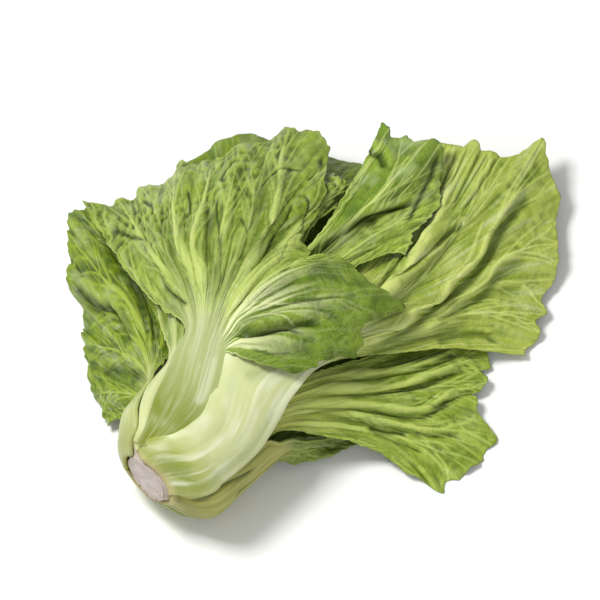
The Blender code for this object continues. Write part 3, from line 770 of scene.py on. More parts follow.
def leafTissue(name, look):
    # living leaf under a thin coat of wax with its soft sheen: pale ribs, painted whitish sheen in patches,
    # and painted shade in the hollows between blisters
    material, tree, shader = startMaterial(name)
    tones = {key: toLinear(code) for key, code in look["colours"].items()}
    read = {
        field: addNode(tree, "ShaderNodeAttribute", {"attribute_name": field}).outputs["Fac"]
        for field in ("rib", "vein", "up", "stalk", "hollow", "proud", "deep", "edge", "inside")
    }
    at = addNode(tree, "ShaderNodeAttribute", {"attribute_name": "leafAt"}).outputs["Vector"]
    body = addNode(tree, "ShaderNodeTexCoord").outputs["Object"]

    # clouds in the tissue: size in millimetres and detail
    for key, size, detail in (("mottle", look["mottle"], 4.0), ("patches", 36.0, 2.0), ("grain", 1.3, 3.0)):
        inputs = {"Vector": body, "Scale": 1 / (size * mm), "Detail": detail}
        read[key] = addNode(tree, "ShaderNodeTexNoise", {}, inputs).outputs[0]
    # streaks along the leaf: swells for each millimetre across, length in millimetres, swells for each rib
    # and detail; the fibres and rays in a real stalk are finer than the render can show
    stretched = {}
    for key, across, along, fan, detail in (
        ("streaks", 0.0, 50.0, look["streakFan"], 3.0),
        ("lines", 0.0, 60.0, look["lineFan"], 2.0),
        ("sheenPatches", 0.06, 26.0, 1.1, 4.0),
        ("crinkle", 0.14, 6.0, 0.7, 5.0),
        ("rays", 0.0, 90.0, look["rays"], 3.0),
        ("warp", 0.0, 16.0, 1.6, 2.0),
        ("net", 0.0, *look["net"], 0.0),
        ("folds", 0.0, 10.0, 1.9, 0.0),
    ):
        inputs = {0: at, 1: (across, 1 / along, fan)}
        stretched[key] = addNode(tree, "ShaderNodeVectorMath", {"operation": "MULTIPLY"}, inputs).outputs[0]
        if detail:
            inputs = {"Vector": stretched[key], "Scale": 1.0, "Detail": detail}
            noiseNode = addNode(tree, "ShaderNodeTexNoise", {}, inputs)
            read[key] = noiseNode.outputs[0]
    # the net of fine veins, and a coarser bent one for wrinkles; noiseNode is still the warp's
    inputs = {0: noiseNode.outputs["Color"], "Scale": 1.5}
    warp = addNode(tree, "ShaderNodeVectorMath", {"operation": "SCALE"}, inputs).outputs[0]
    inputs = {0: stretched["folds"], 1: warp}
    stretched["folds"] = addNode(tree, "ShaderNodeVectorMath", {"operation": "ADD"}, inputs).outputs[0]
    for key in ("net", "folds"):
        inputs = {"Vector": stretched[key], "Scale": 1.0, "Randomness": 1.0}
        cells = addNode(tree, "ShaderNodeTexVoronoi", {"feature": "DISTANCE_TO_EDGE"}, inputs)
        read[key] = cells.outputs["Distance"]
    onBlade = {"Value": read["up"], "From Max": 0.2, "To Min": look["stalkLines"]}
    read["lineShare"] = addNode(tree, "ShaderNodeMapRange", {}, onBlade).outputs[0]
    start = look["wrinkleFrom"]
    creased = [("folds", 0.12, 0.0), ("mottle", 0.44, 0.56), ("grain", 0.36, 0.56)]
    read["wrinkle"] = mask(tree, 1.0, creased + [("up", start, start + 0.2)], read)

    tones["green"] = paint(tree, tones["blade"], [
        ("dark", 1.0, ("mottle", 0.32, 0.62)),
        # darker in the sunk crinkles and lighter on the raised ones: painted shade and painted highlight
        ("dark", 0.6, ("crinkle", 0.52, 0.64)),
        ("light", 0.6, ("crinkle", 0.46, 0.34)),
        ("light", look["patchy"], ("patches", 0.42, 0.7)),
        ("light", 0.4, ("streaks", 0.5, 0.8)),
        # painted highlight where the face stands proud and painted shade in its hollows
        ("light", look["proud"], ("proud",)),
        ("deep", look["hollow"], ("hollow",)),
        ("vein", look["netPale"], ("net", 0.09, 0.0)),
    ], read, tones)
    tones["ribTone"] = paint(tree, tones["rib"], [("streak", 1.0, ("up", 0.25, 0.02))], read, tones)
    # the upper face, where a leaf folds over or is seen from inside
    tones["upper"] = paint(tree, tones["face"], [
        ("faceDark", 1.0, ("mottle", 0.35, 0.7)),
        ("faceLight", 0.6, ("patches", 0.45, 0.7)),
        # darker in the sunk crinkles of the upper face: painted shade
        ("faceDark", 0.45, ("crinkle", 0.54, 0.68)),
        # painted highlight where the upper face stands proud and painted shade in its hollows
        ("faceLight", 0.4, ("proud",)),
        ("faceDark", 0.7, ("hollow",)),
        # whitish streaks fanning from the neck: pale veins with painted sheen over them
        ("faceVein", 0.95, ("up", look["faceNeck"], 0.05), ("rays", 0.46, 0.57)),
        ("faceVein", look["faceVeins"], ("vein", 0.2, 0.8)),
        ("faceVein", 0.8, ("rib", 0.35, 0.95)),
        ("faceVein", look["netPale"], ("net", 0.06, 0.0)),
        # darker in the grooves between the lines near the neck: painted shade
        ("faceDark", 0.5, ("lines", 0.5, 0.3), ("up", 1.0, 0.2)),
    ], read, tones)
    tone = paint(tree, tones["base"], [
        ("stalk", 1.0, ("stalk", *look["olive"])),
        ("streak", look["streaky"], ("streaks", 0.46, 0.74)),
        ("base", 0.25, ("mottle", 0.5, 0.8)),
        ("green", 1.0, ("up", *look["neck"])),
        ("ribTone", look["ribPale"], ("rib", 0.05, 0.85)),
        # darker in the grooves between the raised lines, a painted shade, and paler along their tops
        ("deep", 0.42, ("lines", 0.47, 0.32), ("lineShare",)),
        ("streak", 0.26, ("lines", 0.52, 0.72), ("lineShare",)),
        # painted shade in the sunk wrinkles
        ("deep", look["wrinkled"], ("wrinkle",)),
        ("vein", look["veinPale"], ("vein",)),
        ("edge", 0.5, ("edge",)),
        ("upper", 1.0, ("inside",)),
        # whitish patches along the leaf: painted sheen
        ("paintedSheen", look["paintedSheen"], ("sheenPatches", 0.5, 0.72)),
        ("cut", 1.0, ("stalk", 0.03, 0.0)),
        # painted shade along the forms' dips and grooves, and in the flat marks
        ("deep", 0.85, ("deep",)),
    ], read, tones)
    tree.links.new(tone, shader.inputs["Base Color"])

    low, high = look["rough"]
    inputs = {"Value": read["mottle"], "From Min": 0.3, "From Max": 0.7, "To Min": low, "To Max": high}
    tree.links.new(addNode(tree, "ShaderNodeMapRange", {}, inputs).outputs[0], shader.inputs["Roughness"])
    # what stands up and what sinks in, added together: a share and the parts of its mask
    height = 0.0
    for share, *parts in (
        (0.4, ("net", 0.0, 0.2), ("up", 0.0, 0.2)),
        (0.3, ("grain",)),
        (1.3, ("lines",), ("lineShare",)),
        (-1.2 * look["wrinkled"], ("wrinkle",)),
        (-2.6, ("crinkle",), ("up", 0.05, 0.4)),
    ):
        inputs = {0: height, 1: mask(tree, share, parts, read)}
        height = addNode(tree, "ShaderNodeMath", {"operation": "ADD"}, inputs).outputs[0]
    inputs = {"Strength": look["bump"], "Distance": look["bumpTall"] * mm, "Height": height}
    bump = addNode(tree, "ShaderNodeBump", {}, inputs)
    tree.links.new(bump.outputs[0], shader.inputs["Normal"])
    shader.inputs["IOR"].default_value = look["ior"]
    shader.inputs["Specular IOR Level"].default_value = look["shine"]
    shader.inputs["Coat Weight"].default_value = look["wax"]
    shader.inputs["Coat Roughness"].default_value = look["waxRough"]
    return material


# A leaf's tables.
# stations: place along the stalk, left and right edge as angles round the bulb, depth under its outside
# and thickness
# ribs: share of the stalk's width, a middle point, the end
# bends: a rib's run as (up the blade, across, counted in ribs)
# furrow: height, how many for each rib, length, share left at the rim; swell: the first three
# pucker: height, how many for each rib, length, where it starts; crumple: height, size, where it starts
# calm: place across, width, how much less; lobes: place across, width, how far out or in
# tuck: edge, how far out, how far down, where it ends
# forms: a route, height, width on its left and right, the dip beside it, the painted shade in that dip (along
# the route itself where there is no dip), how pale the top
# colours: deep is painted shade for hollows, wrinkles, grooves and the forms' dips; dark and light also paint
# shade and highlight on the fine crinkles, and light on what stands proud

# colours that most leaves share: the painted whitish sheen and the upper face
leafColours = {
    "paintedSheen": "#b9c6a0",
    "face": "#708b22", "faceDark": "#4b6511", "faceVein": "#c3d07f", "faceLight": "#8aa338",
}

underLeaf = {
    "name": "underLeaf", "node": "leaf_under", "seed": 11, "rows": (9, 11), "columnsAGap": 3,
    "fine": (3, 7, 8), "cutOff": True, "onSurface": True, "edgeWidth": 3,
    "stations": [
        (-50, -55, -150, 0, 2.6), (-42, -57, -151, 0, 6), (-28, -60, -150, -1, 8),
        (-5, -60, -148, -1.5, 8), (25, -57, -140, -1.5, 6), (45, -50, -132, -0.5, 4),
    ],
    "ribs": [
        (0, (76, -54, 4), (120, -75, 4)), (0.17, (112, -34, 6), (172, -68, 4)),
        (0.34, (128, -8, 6), (212, -44, 5)), (0.5, (136, 18, 6), (240, 0, 4)),
        (0.67, (130, 42, 6), (228, 50, 5)), (0.84, (106, 60, 6), (180, 98, 4)),
        (1, (74, 66, 5), (98, 108, 4)),
    ],
    "ribHeight": 1.8, "wave": 1.6, "flute": 1.4, "tooth": 4,
    "ribWidths": [4, 5, 6, 7, 6, 5, 4], "ribRise": 0.2, "branches": 4, "branchWidth": 1.5,
    "furrow": (0.9, 2.6, 50, 0.6), "pucker": (0.9, 3, 12, 0.35), "swell": (1, 0.8, 60),
    "crumple": (0.6, 12, 0.6), "ruffle": 0.8, "stalkWave": 0.7, "teeth": 5, "sideTeeth": 3,
    "toothLength": 9,
    "colours": {
        "blade": "#819532", "dark": "#687d20", "light": "#98a955", "deep": "#3f520e", "vein": "#aab871",
        "rib": "#b3bf76", "edge": "#93a54c", "base": "#899139", "stalk": "#a3ad62", "streak": "#c1c78f",
        "cut": "#aba370", "face": "#6e8822", "faceDark": "#4a6311", "faceVein": "#c0cb7f",
        "faceLight": "#889f38",
    },
}

frontLeaf = {
    "name": "frontLeaf", "node": "leaf_front", "seed": 23, "rows": (9, 7), "columnsAGap": 4,
    "fine": (4, 12, 12), "cutOff": True, "edgeWidth": 2,
    "stations": [
        (-50, 1, -50, 0, 2.6), (-42, 16, -51, 0, 7), (-28, 20, -53, 0, 8), (-5, 17, -52, 0, 8),
        (6, 17, -50, 0, 7), (18, 15, -46, 0, 5), (28, 11, -45, 0, 3.5),
    ],
    "ribs": [
        (0, (58, -56, 24), (100, -70, 4)), (0.3, (56, -56, 17), (84, -74, 4)),
        (0.65, (46, -53, 16), (60, -66, 8)), (1, (34, -46, 14), (40, -54, 10)),
    ],
    "ribHeight": 0.8, "wave": 1.2, "flute": 0.8, "tooth": 3,
    "ribWidths": [3, 3.5, 3.5, 2.5], "ribRise": 0.2, "branches": 3, "branchWidth": 1.3,
    "furrow": (1, 3, 30, 0.7), "pucker": (1.4, 3.2, 7, 0.1), "swell": (2, 1.1, 22),
    "crumple": (-1.8, 7, 0.2), "ruffle": 2.2, "stalkWave": 0.8, "teeth": 5, "sideTeeth": 3,
    "toothLength": 6,
    "tuck": [(0, 6, 4, 0)],
    "forms": [
        ([(-0.7, 0.9), (-0.35, 1.2), (0, 1.3), (0.25, 1.1)], -3, 1.6, 1.6, 0, 1, 0),
        ([(-1.2, 0.5), (-0.9, 0.25), (-0.65, 0.35), (-0.3, 0.6)], -2, 1.3, 1.3, 0, 0.9, 0),
        ([(-0.5, 2.1), (-0.2, 2), (0.1, 2.1)], -1.4, 1.4, 1.4, 0, 0.5, 0),
    ],
    "finish": {
        "olive": (0, 0.3), "neck": (0, 0.25), "streaky": 0.95, "streakFan": 3.6, "paintedSheen": 0.2,
        "stalkLines": 1,
    },
    "colours": {
        "blade": "#72892c", "dark": "#4c641a", "light": "#8a9d47", "deep": "#2c3d0a", "vein": "#9aa957",
        "rib": "#a3af5c", "edge": "#a3b453", "base": "#7a7a2a", "stalk": "#939542", "streak": "#b9b668",
        "cut": "#bdb27a",
    },
}

lowerRightLeaf = {
    "name": "lowerRightLeaf", "node": "leaf_lower_right", "seed": 37, "rows": (5, 13), "columnsAGap": 3,
    "fine": (4, 10, 12), "edgeWidth": 2.5,
    "stations": [
        (-30, 48, -12, 12, 4), (-15, 50, -12, 13, 6), (5, 52, 0, 13, 6), (22, 52, 10, 11.5, 5),
    ],
    "ribs": [
        (0, (149, -49, 22), (219, -91, 4)), (0.15, (138, -60, 26), (190, -101, 8)),
        (0.29, (126, -68, 28), (176, -112, 8)), (0.43, (115, -73, 28), (160, -116, 8)),
        (0.57, (106, -78, 26), (149, -143, 4)), (0.7, (96, -81, 24), (121, -147, 3)),
        (0.82, (85, -81, 24), (94, -139, 3)), (1, (71, -74, 26), (86, -106, 8)),
    ],
    "bends": {
        1: [(0, 0.8), (0.25, 0.7), (0.375, 1.1), (0.54, 1.4), (0.7, 1.05), (0.83, 0.5), (1, 0.3)],
        2: [(0, 1.7), (0.24, 1.7), (0.4, 2.2), (0.55, 2.2), (0.71, 1.83), (0.92, 0.95), (1, 0.8)],
        3: [(0, 2.6), (0.3, 2.6), (0.5, 3), (0.75, 2.5), (1, 1.5)],
        4: [(0, 3.3), (0.27, 3.1), (0.4, 3.45), (0.625, 3.9), (0.78, 3.2), (1, 2.1)],
        5: [(0, 4.4), (0.32, 4.1), (0.45, 4.7), (0.67, 4.75), (0.86, 4.2), (1, 3.9)],
        6: [(0, 5.6), (0.2, 5.8), (0.365, 6), (0.5, 5.7), (0.8, 5.2), (1, 5.1)],
    },
    "ribHeight": 2, "wave": 2, "flute": 1.6, "tooth": 4,
    "ribWidths": [2.5, 4, 4.5, 2.5, 4, 3.5, 3.5, 2.5], "ribRise": 0.3, "branches": 5, "branchWidth": 1.5,
    "furrow": (1.5, 3.4, 60, 0.6), "pucker": (0.5, 3, 16, 0.5), "swell": (1.8, 0.9, 45),
    "crumple": (-1.2, 12, 0.45), "ruffle": 2, "stalkWave": 0.5, "teeth": 3, "sideTeeth": 3.5,
    "toothLength": 9,
    "forms": [
        ([(0.3, 0.8), (0.375, 1.1), (0.54, 1.4), (0.7, 1.05), (0.83, 0.5)], 2, 2.6, 2.2, -0.8, 0.5, 0.3),
        ([(0.2, 1.7), (0.4, 2.2), (0.55, 2.2), (0.71, 1.83), (0.92, 0.95)], 3, 3.8, 2.6, -0.8, 0.6, 0.4),
        ([(0.2, 3.1), (0.4, 3.45), (0.625, 3.9), (0.78, 3.2), (1, 2.1)], 2.8, 3.8, 2.6, -0.8, 0.5, 0.4),
        ([(0.25, 4.2), (0.45, 4.7), (0.67, 4.75), (0.86, 4.2)], 2, 2.6, 2.2, -0.8, 0.45, 0.3),
        ([(0.4, 0.75), (0.471, 0.95), (0.56, 0.95), (0.66, 0.8)], -2.5, 1.8, 1.8, 0, 1, 0),
        ([(0.47, 5.5), (0.52, 5.47), (0.58, 5.42), (0.63, 5.25), (0.68, 5.2)], -3, 2.4, 2.4, 0, 1, 0),
        ([(0.5, 5.9), (0.6, 5.8), (0.8, 5.5)], -1.4, 1.6, 1.6, 0, 0.6, 0),
    ],
    "finish": {
        "olive": (0, 0.4), "neck": (0.05, 0.5), "hollow": 0.9,
    },
    "colours": {
        "blade": "#8ca12e", "dark": "#6e861c", "light": "#a3b64b", "deep": "#2e4106", "vein": "#b8ca68",
        "rib": "#bcca68", "edge": "#9cb240", "base": "#90973a", "stalk": "#a1a84b", "streak": "#babf65",
        "cut": "#c4bb75",
    },
}

leftLeaf = {
    "name": "leftLeaf", "node": "leaf_left", "seed": 41, "rows": (7, 12), "columnsAGap": 3,
    "fine": (4, 10, 14), "cutOff": True, "edgeWidth": 2.5,
    "stations": [
        (-50, 204, 134, 0, 2.6), (-45, 205, 130, 0, 5), (-37, 206, 129, 0, 7), (-28, 206, 135, 0, 8),
        (-18, 206, 143, 0, 8), (-5, 206, 154, 0, 7), (4, 206, 161, 0, 6),
    ],
    "ribs": [
        (0, (-8, 60, 16), (-17, 66, 9)), (0.16, (0, 75, 20), (-4, 92, 4)),
        (0.33, (16, 84, 22), (27, 129, 3)), (0.5, (33, 100, 24), (54, 162, 3)),
        (0.67, (53, 115, 28), (96, 199, 8)), (0.84, (64, 104, 32), (111, 168, 8)),
        (1, (48, 63, 38), (104, 96, 16)),
    ],
    "bends": {
        2: [(0, 3.4), (0.18, 3.2), (0.5, 2.6), (0.84, 2.04), (1, 1.9)],
        3: [(0, 4), (0.4, 3.7), (0.72, 3.1), (0.93, 2.9), (1, 2.9)],
        4: [(0, 4.6), (0.33, 4.6), (0.69, 3.8), (0.95, 3.6), (1, 3.5)],
        5: [(0, 5.3), (0.42, 5.6), (0.55, 5.33), (0.66, 5.08), (0.79, 4.67), (1, 4.55)],
    },
    "ribHeight": 1.2, "wave": 2, "flute": 1.6, "tooth": 4,
    "ribWidths": [2, 3, 4, 4.5, 4.5, 3.5, 3], "ribRise": 0.26, "branches": 6, "branchWidth": 1.2,
    "furrow": (1.3, 2.6, 40, 0.5), "pucker": (0.6, 2.4, 16, 0.3), "swell": (2.4, 0.9, 34),
    "crumple": (-1.4, 11, 0.2), "ruffle": 2, "stalkWave": 0.7, "teeth": 7, "sideTeeth": 7,
    "toothLength": 9,
    "forms": [
        ([(0.3, 4.3), (0.5, 4), (0.69, 3.4), (0.95, 3.2)], 4.5, 4, 10, 0.7, 0.85, 0.1),
        ([(0.3, 5.75), (0.55, 5.4), (0.79, 4.8), (0.96, 4.7)], 3, 3.5, 6, 0.6, 0.8, 0.1),
        ([(0.2, 3), (0.5, 2.3), (0.84, 1.6)], 2.5, 4, 8, 0.6, 0.6, 0),
    ],
    "finish": {
        "neck": (0.02, 0.34), "rough": (0.3, 0.52), "wax": 0.2, "paintedSheen": 0.26, "hollow": 0.8,
        "shine": 0.5, "streakFan": 4, "veinPale": 0.75,
    },
    "colours": {
        "blade": "#6b8411", "dark": "#486206", "light": "#869b28", "deep": "#203401", "vein": "#95a936",
        "rib": "#97aa36", "edge": "#7a931e", "base": "#969b50", "stalk": "#a6ae62", "streak": "#bac082",
        "cut": "#969437",
    },
}

rightLeaf = {
    "name": "rightLeaf", "node": "leaf_right", "seed": 53, "rows": (10, 15), "columnsAGap": 3,
    "fine": (4, 10, 14), "cutOff": True, "edgeWidth": 3,
    "stations": [
        (-50, 112, 4, 0, 2.6), (-44, 97, 15, 0, 6), (-37, 85, 20, 0, 8), (-28, 76, 22, 0, 8.5),
        (-16, 72, 20, 0, 9), (-5, 71, 19, 0, 9), (8, 76, 20, 0, 8.5), (20, 83, 24, 0, 8),
        (38, 92, 32, 0, 7), (52, 88, 39, 0, 6), (66, 80, 44, 0, 5),
    ],
    "ribs": [
        (0, (157, -10, 58), (296, 26, 26)), (0.14, (177, -19, 60), (311, 10, 30)),
        (0.28, (193, -26, 58), (316, -12, 28)), (0.42, (209, -34, 54), (342, -25, 30)),
        (0.55, (208, -45, 48), (319, -61, 20)), (0.67, (201, -53, 40), (283, -90, 12)),
        (0.79, (181, -56, 38), (247, -106, 9)), (0.9, (167, -60, 36), (230, -116, 7)),
        (1, (146, -61, 35), (212, -116, 6)),
    ],
    "bends": {
        1: [(0, 1.5), (0.3, 1.4), (0.63, 1.1), (0.82, 0.7), (1, 0.3)],
        2: [(0, 3.6), (0.33, 2.96), (0.48, 2.21), (0.63, 1.83), (0.82, 1.1), (0.96, 0.75), (1, 0.7)],
        3: [(0, 4.8), (0.3, 4.6), (0.5, 3.5), (0.7, 2.7), (1, 1.9)],
        4: [
            (0, 7), (0.233, 6.88), (0.417, 5.96), (0.508, 4.92), (0.625, 4.29), (0.7, 3.75), (0.77, 3.5),
            (0.86, 3.4), (1, 3.3),
        ],
        5: [(0, 7.3), (0.3, 7.1), (0.567, 5.92), (0.65, 5.38), (0.7, 4.85), (0.8, 4.65), (1, 4.7)],
        6: [(0, 7.6), (0.4, 6.9), (0.57, 6.2), (0.642, 5.64), (0.708, 5.39), (0.867, 5.4), (1, 5.5)],
        7: [(0, 7.8), (0.292, 7.58), (0.425, 7.12), (0.575, 6.79), (0.642, 6.5), (1, 6.4)],
    },
    "ribHeight": 2.4, "wave": 2.4, "flute": 2, "tooth": 4,
    "ribWidths": [3, 2.5, 6.5, 3, 5.5, 4.5, 3, 3.5, 2.5], "ribRise": 0.28, "branches": 5,
    "branchWidth": 1.7, "furrow": (1.1, 1.6, 70, 0.3), "pucker": (0.5, 2.4, 22, 0.55),
    "swell": (2.2, 0.7, 60), "crumple": (-1.2, 12, 0.45), "ruffle": 0.7, "stalkWave": 0.9, "teeth": 2.4,
    "sideTeeth": 2, "toothLength": 10,
    "tuck": [(0, 8, 5, 0.05), (1, 2, 1, 0)],
    "forms": [
        ([(0.3, 3.1), (0.48, 2.21), (0.63, 1.83), (0.82, 1.1), (0.9, 0.95)], 4, 4.3, 5.5, 0.7, 0.9, 0.3),
        ([(0.58, 1.95), (0.66, 2.05), (0.69, 2.45), (0.67, 3)], 3, 4, 3, -0.7, 0.8, 0.1),
        ([(0.25, 6.8), (0.417, 5.96), (0.508, 4.92), (0.625, 4.29), (0.7, 3.75), (0.77, 3.5), (0.9, 3.4)],
         4.6, 6, 4.3, -0.6, 0.9, 0.35),
        ([(0.5, 6.3), (0.567, 5.92), (0.65, 5.38), (0.7, 4.85), (0.84, 4.65)], 3, 5, 4, -0.6, 0.6, 0.3),
        ([(0.6, 5.9), (0.642, 5.64), (0.708, 5.39), (0.88, 5.4)], 2, 4, 3.5, -0.5, 0.4, 0.2),
        ([(0.28, 4.9), (0.45, 3.9), (0.6, 3.1), (0.74, 2.8)], -3, 6, 6, 0, 0.45, 0),
        ([(0.3, 7.6), (0.425, 7.12), (0.575, 6.79), (0.7, 6.5)], 2.5, 5, 3.5, -0.6, 0.6, 0.2),
        ([(0.78, 0.75), (0.9, 0.5), (1, 0.4)], 1.1, 1.2, 1.2, -1, 0.8, 0.3),
        ([(0.78, 1.45), (0.9, 1.3), (1, 1.2)], 1.1, 1.2, 1.2, -1, 0.8, 0.3),
        ([(0.76, 2), (0.9, 1.85), (1, 1.75)], 1.1, 1.2, 1.2, -1, 0.7, 0.3),
        ([(0.62, 7.7), (0.725, 7.4), (0.8, 7.3), (0.9, 7.6)], -2.5, 3, 3, 0, 0.8, 0),
        ([(0.72, 1.2), (0.86, 1), (1.05, 0.8)], -1.6, 1, 1, 0, 0.9, 0),
        ([(0.74, 1.75), (0.88, 1.6), (1.05, 1.5)], -1.4, 1, 1, 0, 0.8, 0),
        # flat marks of painted shade on the stalk: along its right margin, on its lower left by the base, and
        # under the flap's lobe
        ([(-0.72, 5.2), (-0.5, 6.2), (-0.25, 6.5), (0, 6.4)], 0, 4, 4, 0, 0.2, 0),
        ([(-0.62, 1), (-0.62, 2.6), (-0.58, 4.4)], 0, 7, 7, 0, 0.35, 0),
        ([(-0.14, 1.6), (-0.06, 3), (0, 5)], 0, 5, 5, 0, 0.35, 0),
        ([(-0.66, 3), (-0.635, 3.9), (-0.6, 4.8), (-0.56, 5.4)], -0.5, 1.1, 1.1, 0, 0.5, 0),
    ],
    "finish": {
        "olive": (0.1, 0.36), "neck": (0.02, 0.4), "streakFan": 0.8, "streaky": 0.9, "wax": 0.25,
        "stalkLines": 0.12, "shine": 0.5, "hollow": 0.85,
    },
    "colours": {
        "blade": "#9fb03f", "dark": "#899c2d", "light": "#b4c15d", "deep": "#586d12", "vein": "#c3cf74",
        "rib": "#cad477", "edge": "#b5be46", "base": "#959f42", "stalk": "#c4cb91", "streak": "#e2e5c6",
        "cut": "#c5b878",
    },
}

backLeaf = {
    "name": "backLeaf", "node": "leaf_back", "seed": 61, "rows": (6, 12), "columnsAGap": 3,
    "fine": (3, 8, 8), "edgeWidth": 2.5,
    "stations": [
        (-30, 200, 150, 11, 5), (-10, 202, 150, 12, 6), (20, 200, 148, 12, 5), (40, 190, 146, 12, 4),
    ],
    "ribs": [
        (0, (104, 105, 44), (167, 160, 20)), (0.25, (125, 92, 50), (198, 152, 22)),
        (0.5, (144, 80, 52), (222, 135, 20)), (0.75, (160, 66, 52), (239, 86, 20)),
        (0.9, (170, 55, 50), (253, 63, 20)), (1, (170, 48, 48), (221, 41, 34)),
    ],
    "ribHeight": 1, "wave": 1.6, "flute": 0.8, "tooth": 2,
    "ribWidths": [3, 4, 5, 5, 4, 3], "ribRise": 0.2, "branches": 4, "branchWidth": 1.3,
    "furrow": (0.8, 2, 60, 0.5), "pucker": (0.5, 2.4, 16, 0.4), "swell": (1.4, 0.8, 50),
    "crumple": (0.4, 14, 0.6), "ruffle": 1.2, "stalkWave": 0.5, "teeth": 2, "sideTeeth": 2,
    "toothLength": 12,
    "colours": {
        "blade": "#6b840e", "dark": "#597207", "light": "#788f17", "deep": "#314502", "vein": "#839921",
        "rib": "#889d25", "edge": "#778e15", "base": "#889336", "stalk": "#a7b269", "streak": "#c1c78f",
        "cut": "#8a8b2d",
    },
}

leftInnerLeaf = {
    "name": "leftInnerLeaf", "node": "leaf_left_inner", "seed": 67, "rows": (9, 8), "columnsAGap": 4,
    "fine": (4, 9, 8), "edgeWidth": 2,
    "stations": [
        (-46, 127, 119, 0, 2.2), (-37, 127, 118, 1, 3), (-28, 132, 118, 1, 4), (-18, 140, 124, 1, 5),
        (-5, 151, 129, 1, 5.5), (10, 160, 135, 2, 5), (24, 162, 141, 4, 4),
    ],
    "ribs": [
        (0, (50, 78, 52), (82, 114, 34)), (0.5, (58, 72, 58), (109, 108, 42)),
        (1, (60, 62, 62), (101, 86, 52)),
    ],
    "ribHeight": 1, "wave": 1.5, "flute": 0.6, "tooth": 2,
    "ribWidths": [3, 4, 3], "ribRise": 0.2, "branches": 4, "branchWidth": 1.1,
    "furrow": (0.8, 2.4, 40, 0.6), "pucker": (0.7, 3, 10, 0.3), "swell": (1.2, 1, 30),
    "crumple": (0.8, 9, 0.4), "ruffle": 1.4, "stalkWave": 0.5, "teeth": 3, "sideTeeth": 2,
    "toothLength": 8,
    "tuck": [(1, 6, 4, 0.1), (0, 1.5, 1, 0)],
    "finish": {
        "olive": (0, 0.3),
    },
    "colours": {
        "blade": "#859735", "dark": "#6b7f22", "light": "#9cac59", "deep": "#405310", "vein": "#afbb76",
        "rib": "#b8c27b", "edge": "#97a750", "base": "#adb56c", "stalk": "#bfc68a", "streak": "#d0d4aa",
        "cut": "#b0a575",
    },
}

heartLeaf = {
    "name": "heartLeaf", "node": "heart", "seed": 71, "rows": (6, 12), "columnsAGap": 4,
    "fine": (2, 9, 14), "edgeWidth": 2,
    "stations": [
        (-20, 125, 60, 22, 6), (0, 125, 60, 22, 8), (30, 120, 70, 22, 7), (55, 120, 75, 20, 5),
    ],
    "ribs": [
        (0, (147, 54, 70), (214, 77, 44)), (0.35, (155, 47, 74), (211, 57, 62)),
        (0.7, (159, 40, 74), (213, 39, 62)), (1, (157, 34, 72), (201, 31, 54)),
    ],
    "ribHeight": 1, "wave": 3, "flute": 1.5, "tooth": 3,
    "ribWidths": [2.5, 4, 4, 2.5], "ribRise": 0.25, "branches": 4, "branchWidth": 1.2,
    "furrow": (1.6, 2.6, 24, 0.8), "pucker": (-0.3, 2.4, 8, 0.1), "swell": (3, 1.1, 24),
    "crumple": (-2.6, 13, 0.15), "ruffle": 3, "stalkWave": 0.5, "teeth": 5, "sideTeeth": 3,
    "toothLength": 7,
    "finish": {
        "hollow": 1, "wrinkled": 0.5, "wrinkleFrom": 0.1,
    },
    "colours": {
        "blade": "#84992f", "dark": "#576e17", "light": "#a1b450", "deep": "#2a3b07", "vein": "#b0c163",
        "rib": "#b6c767", "edge": "#9bb047", "base": "#97a33a", "stalk": "#b9c571", "streak": "#d5dc99",
        "cut": "#c7be75",
    },
}

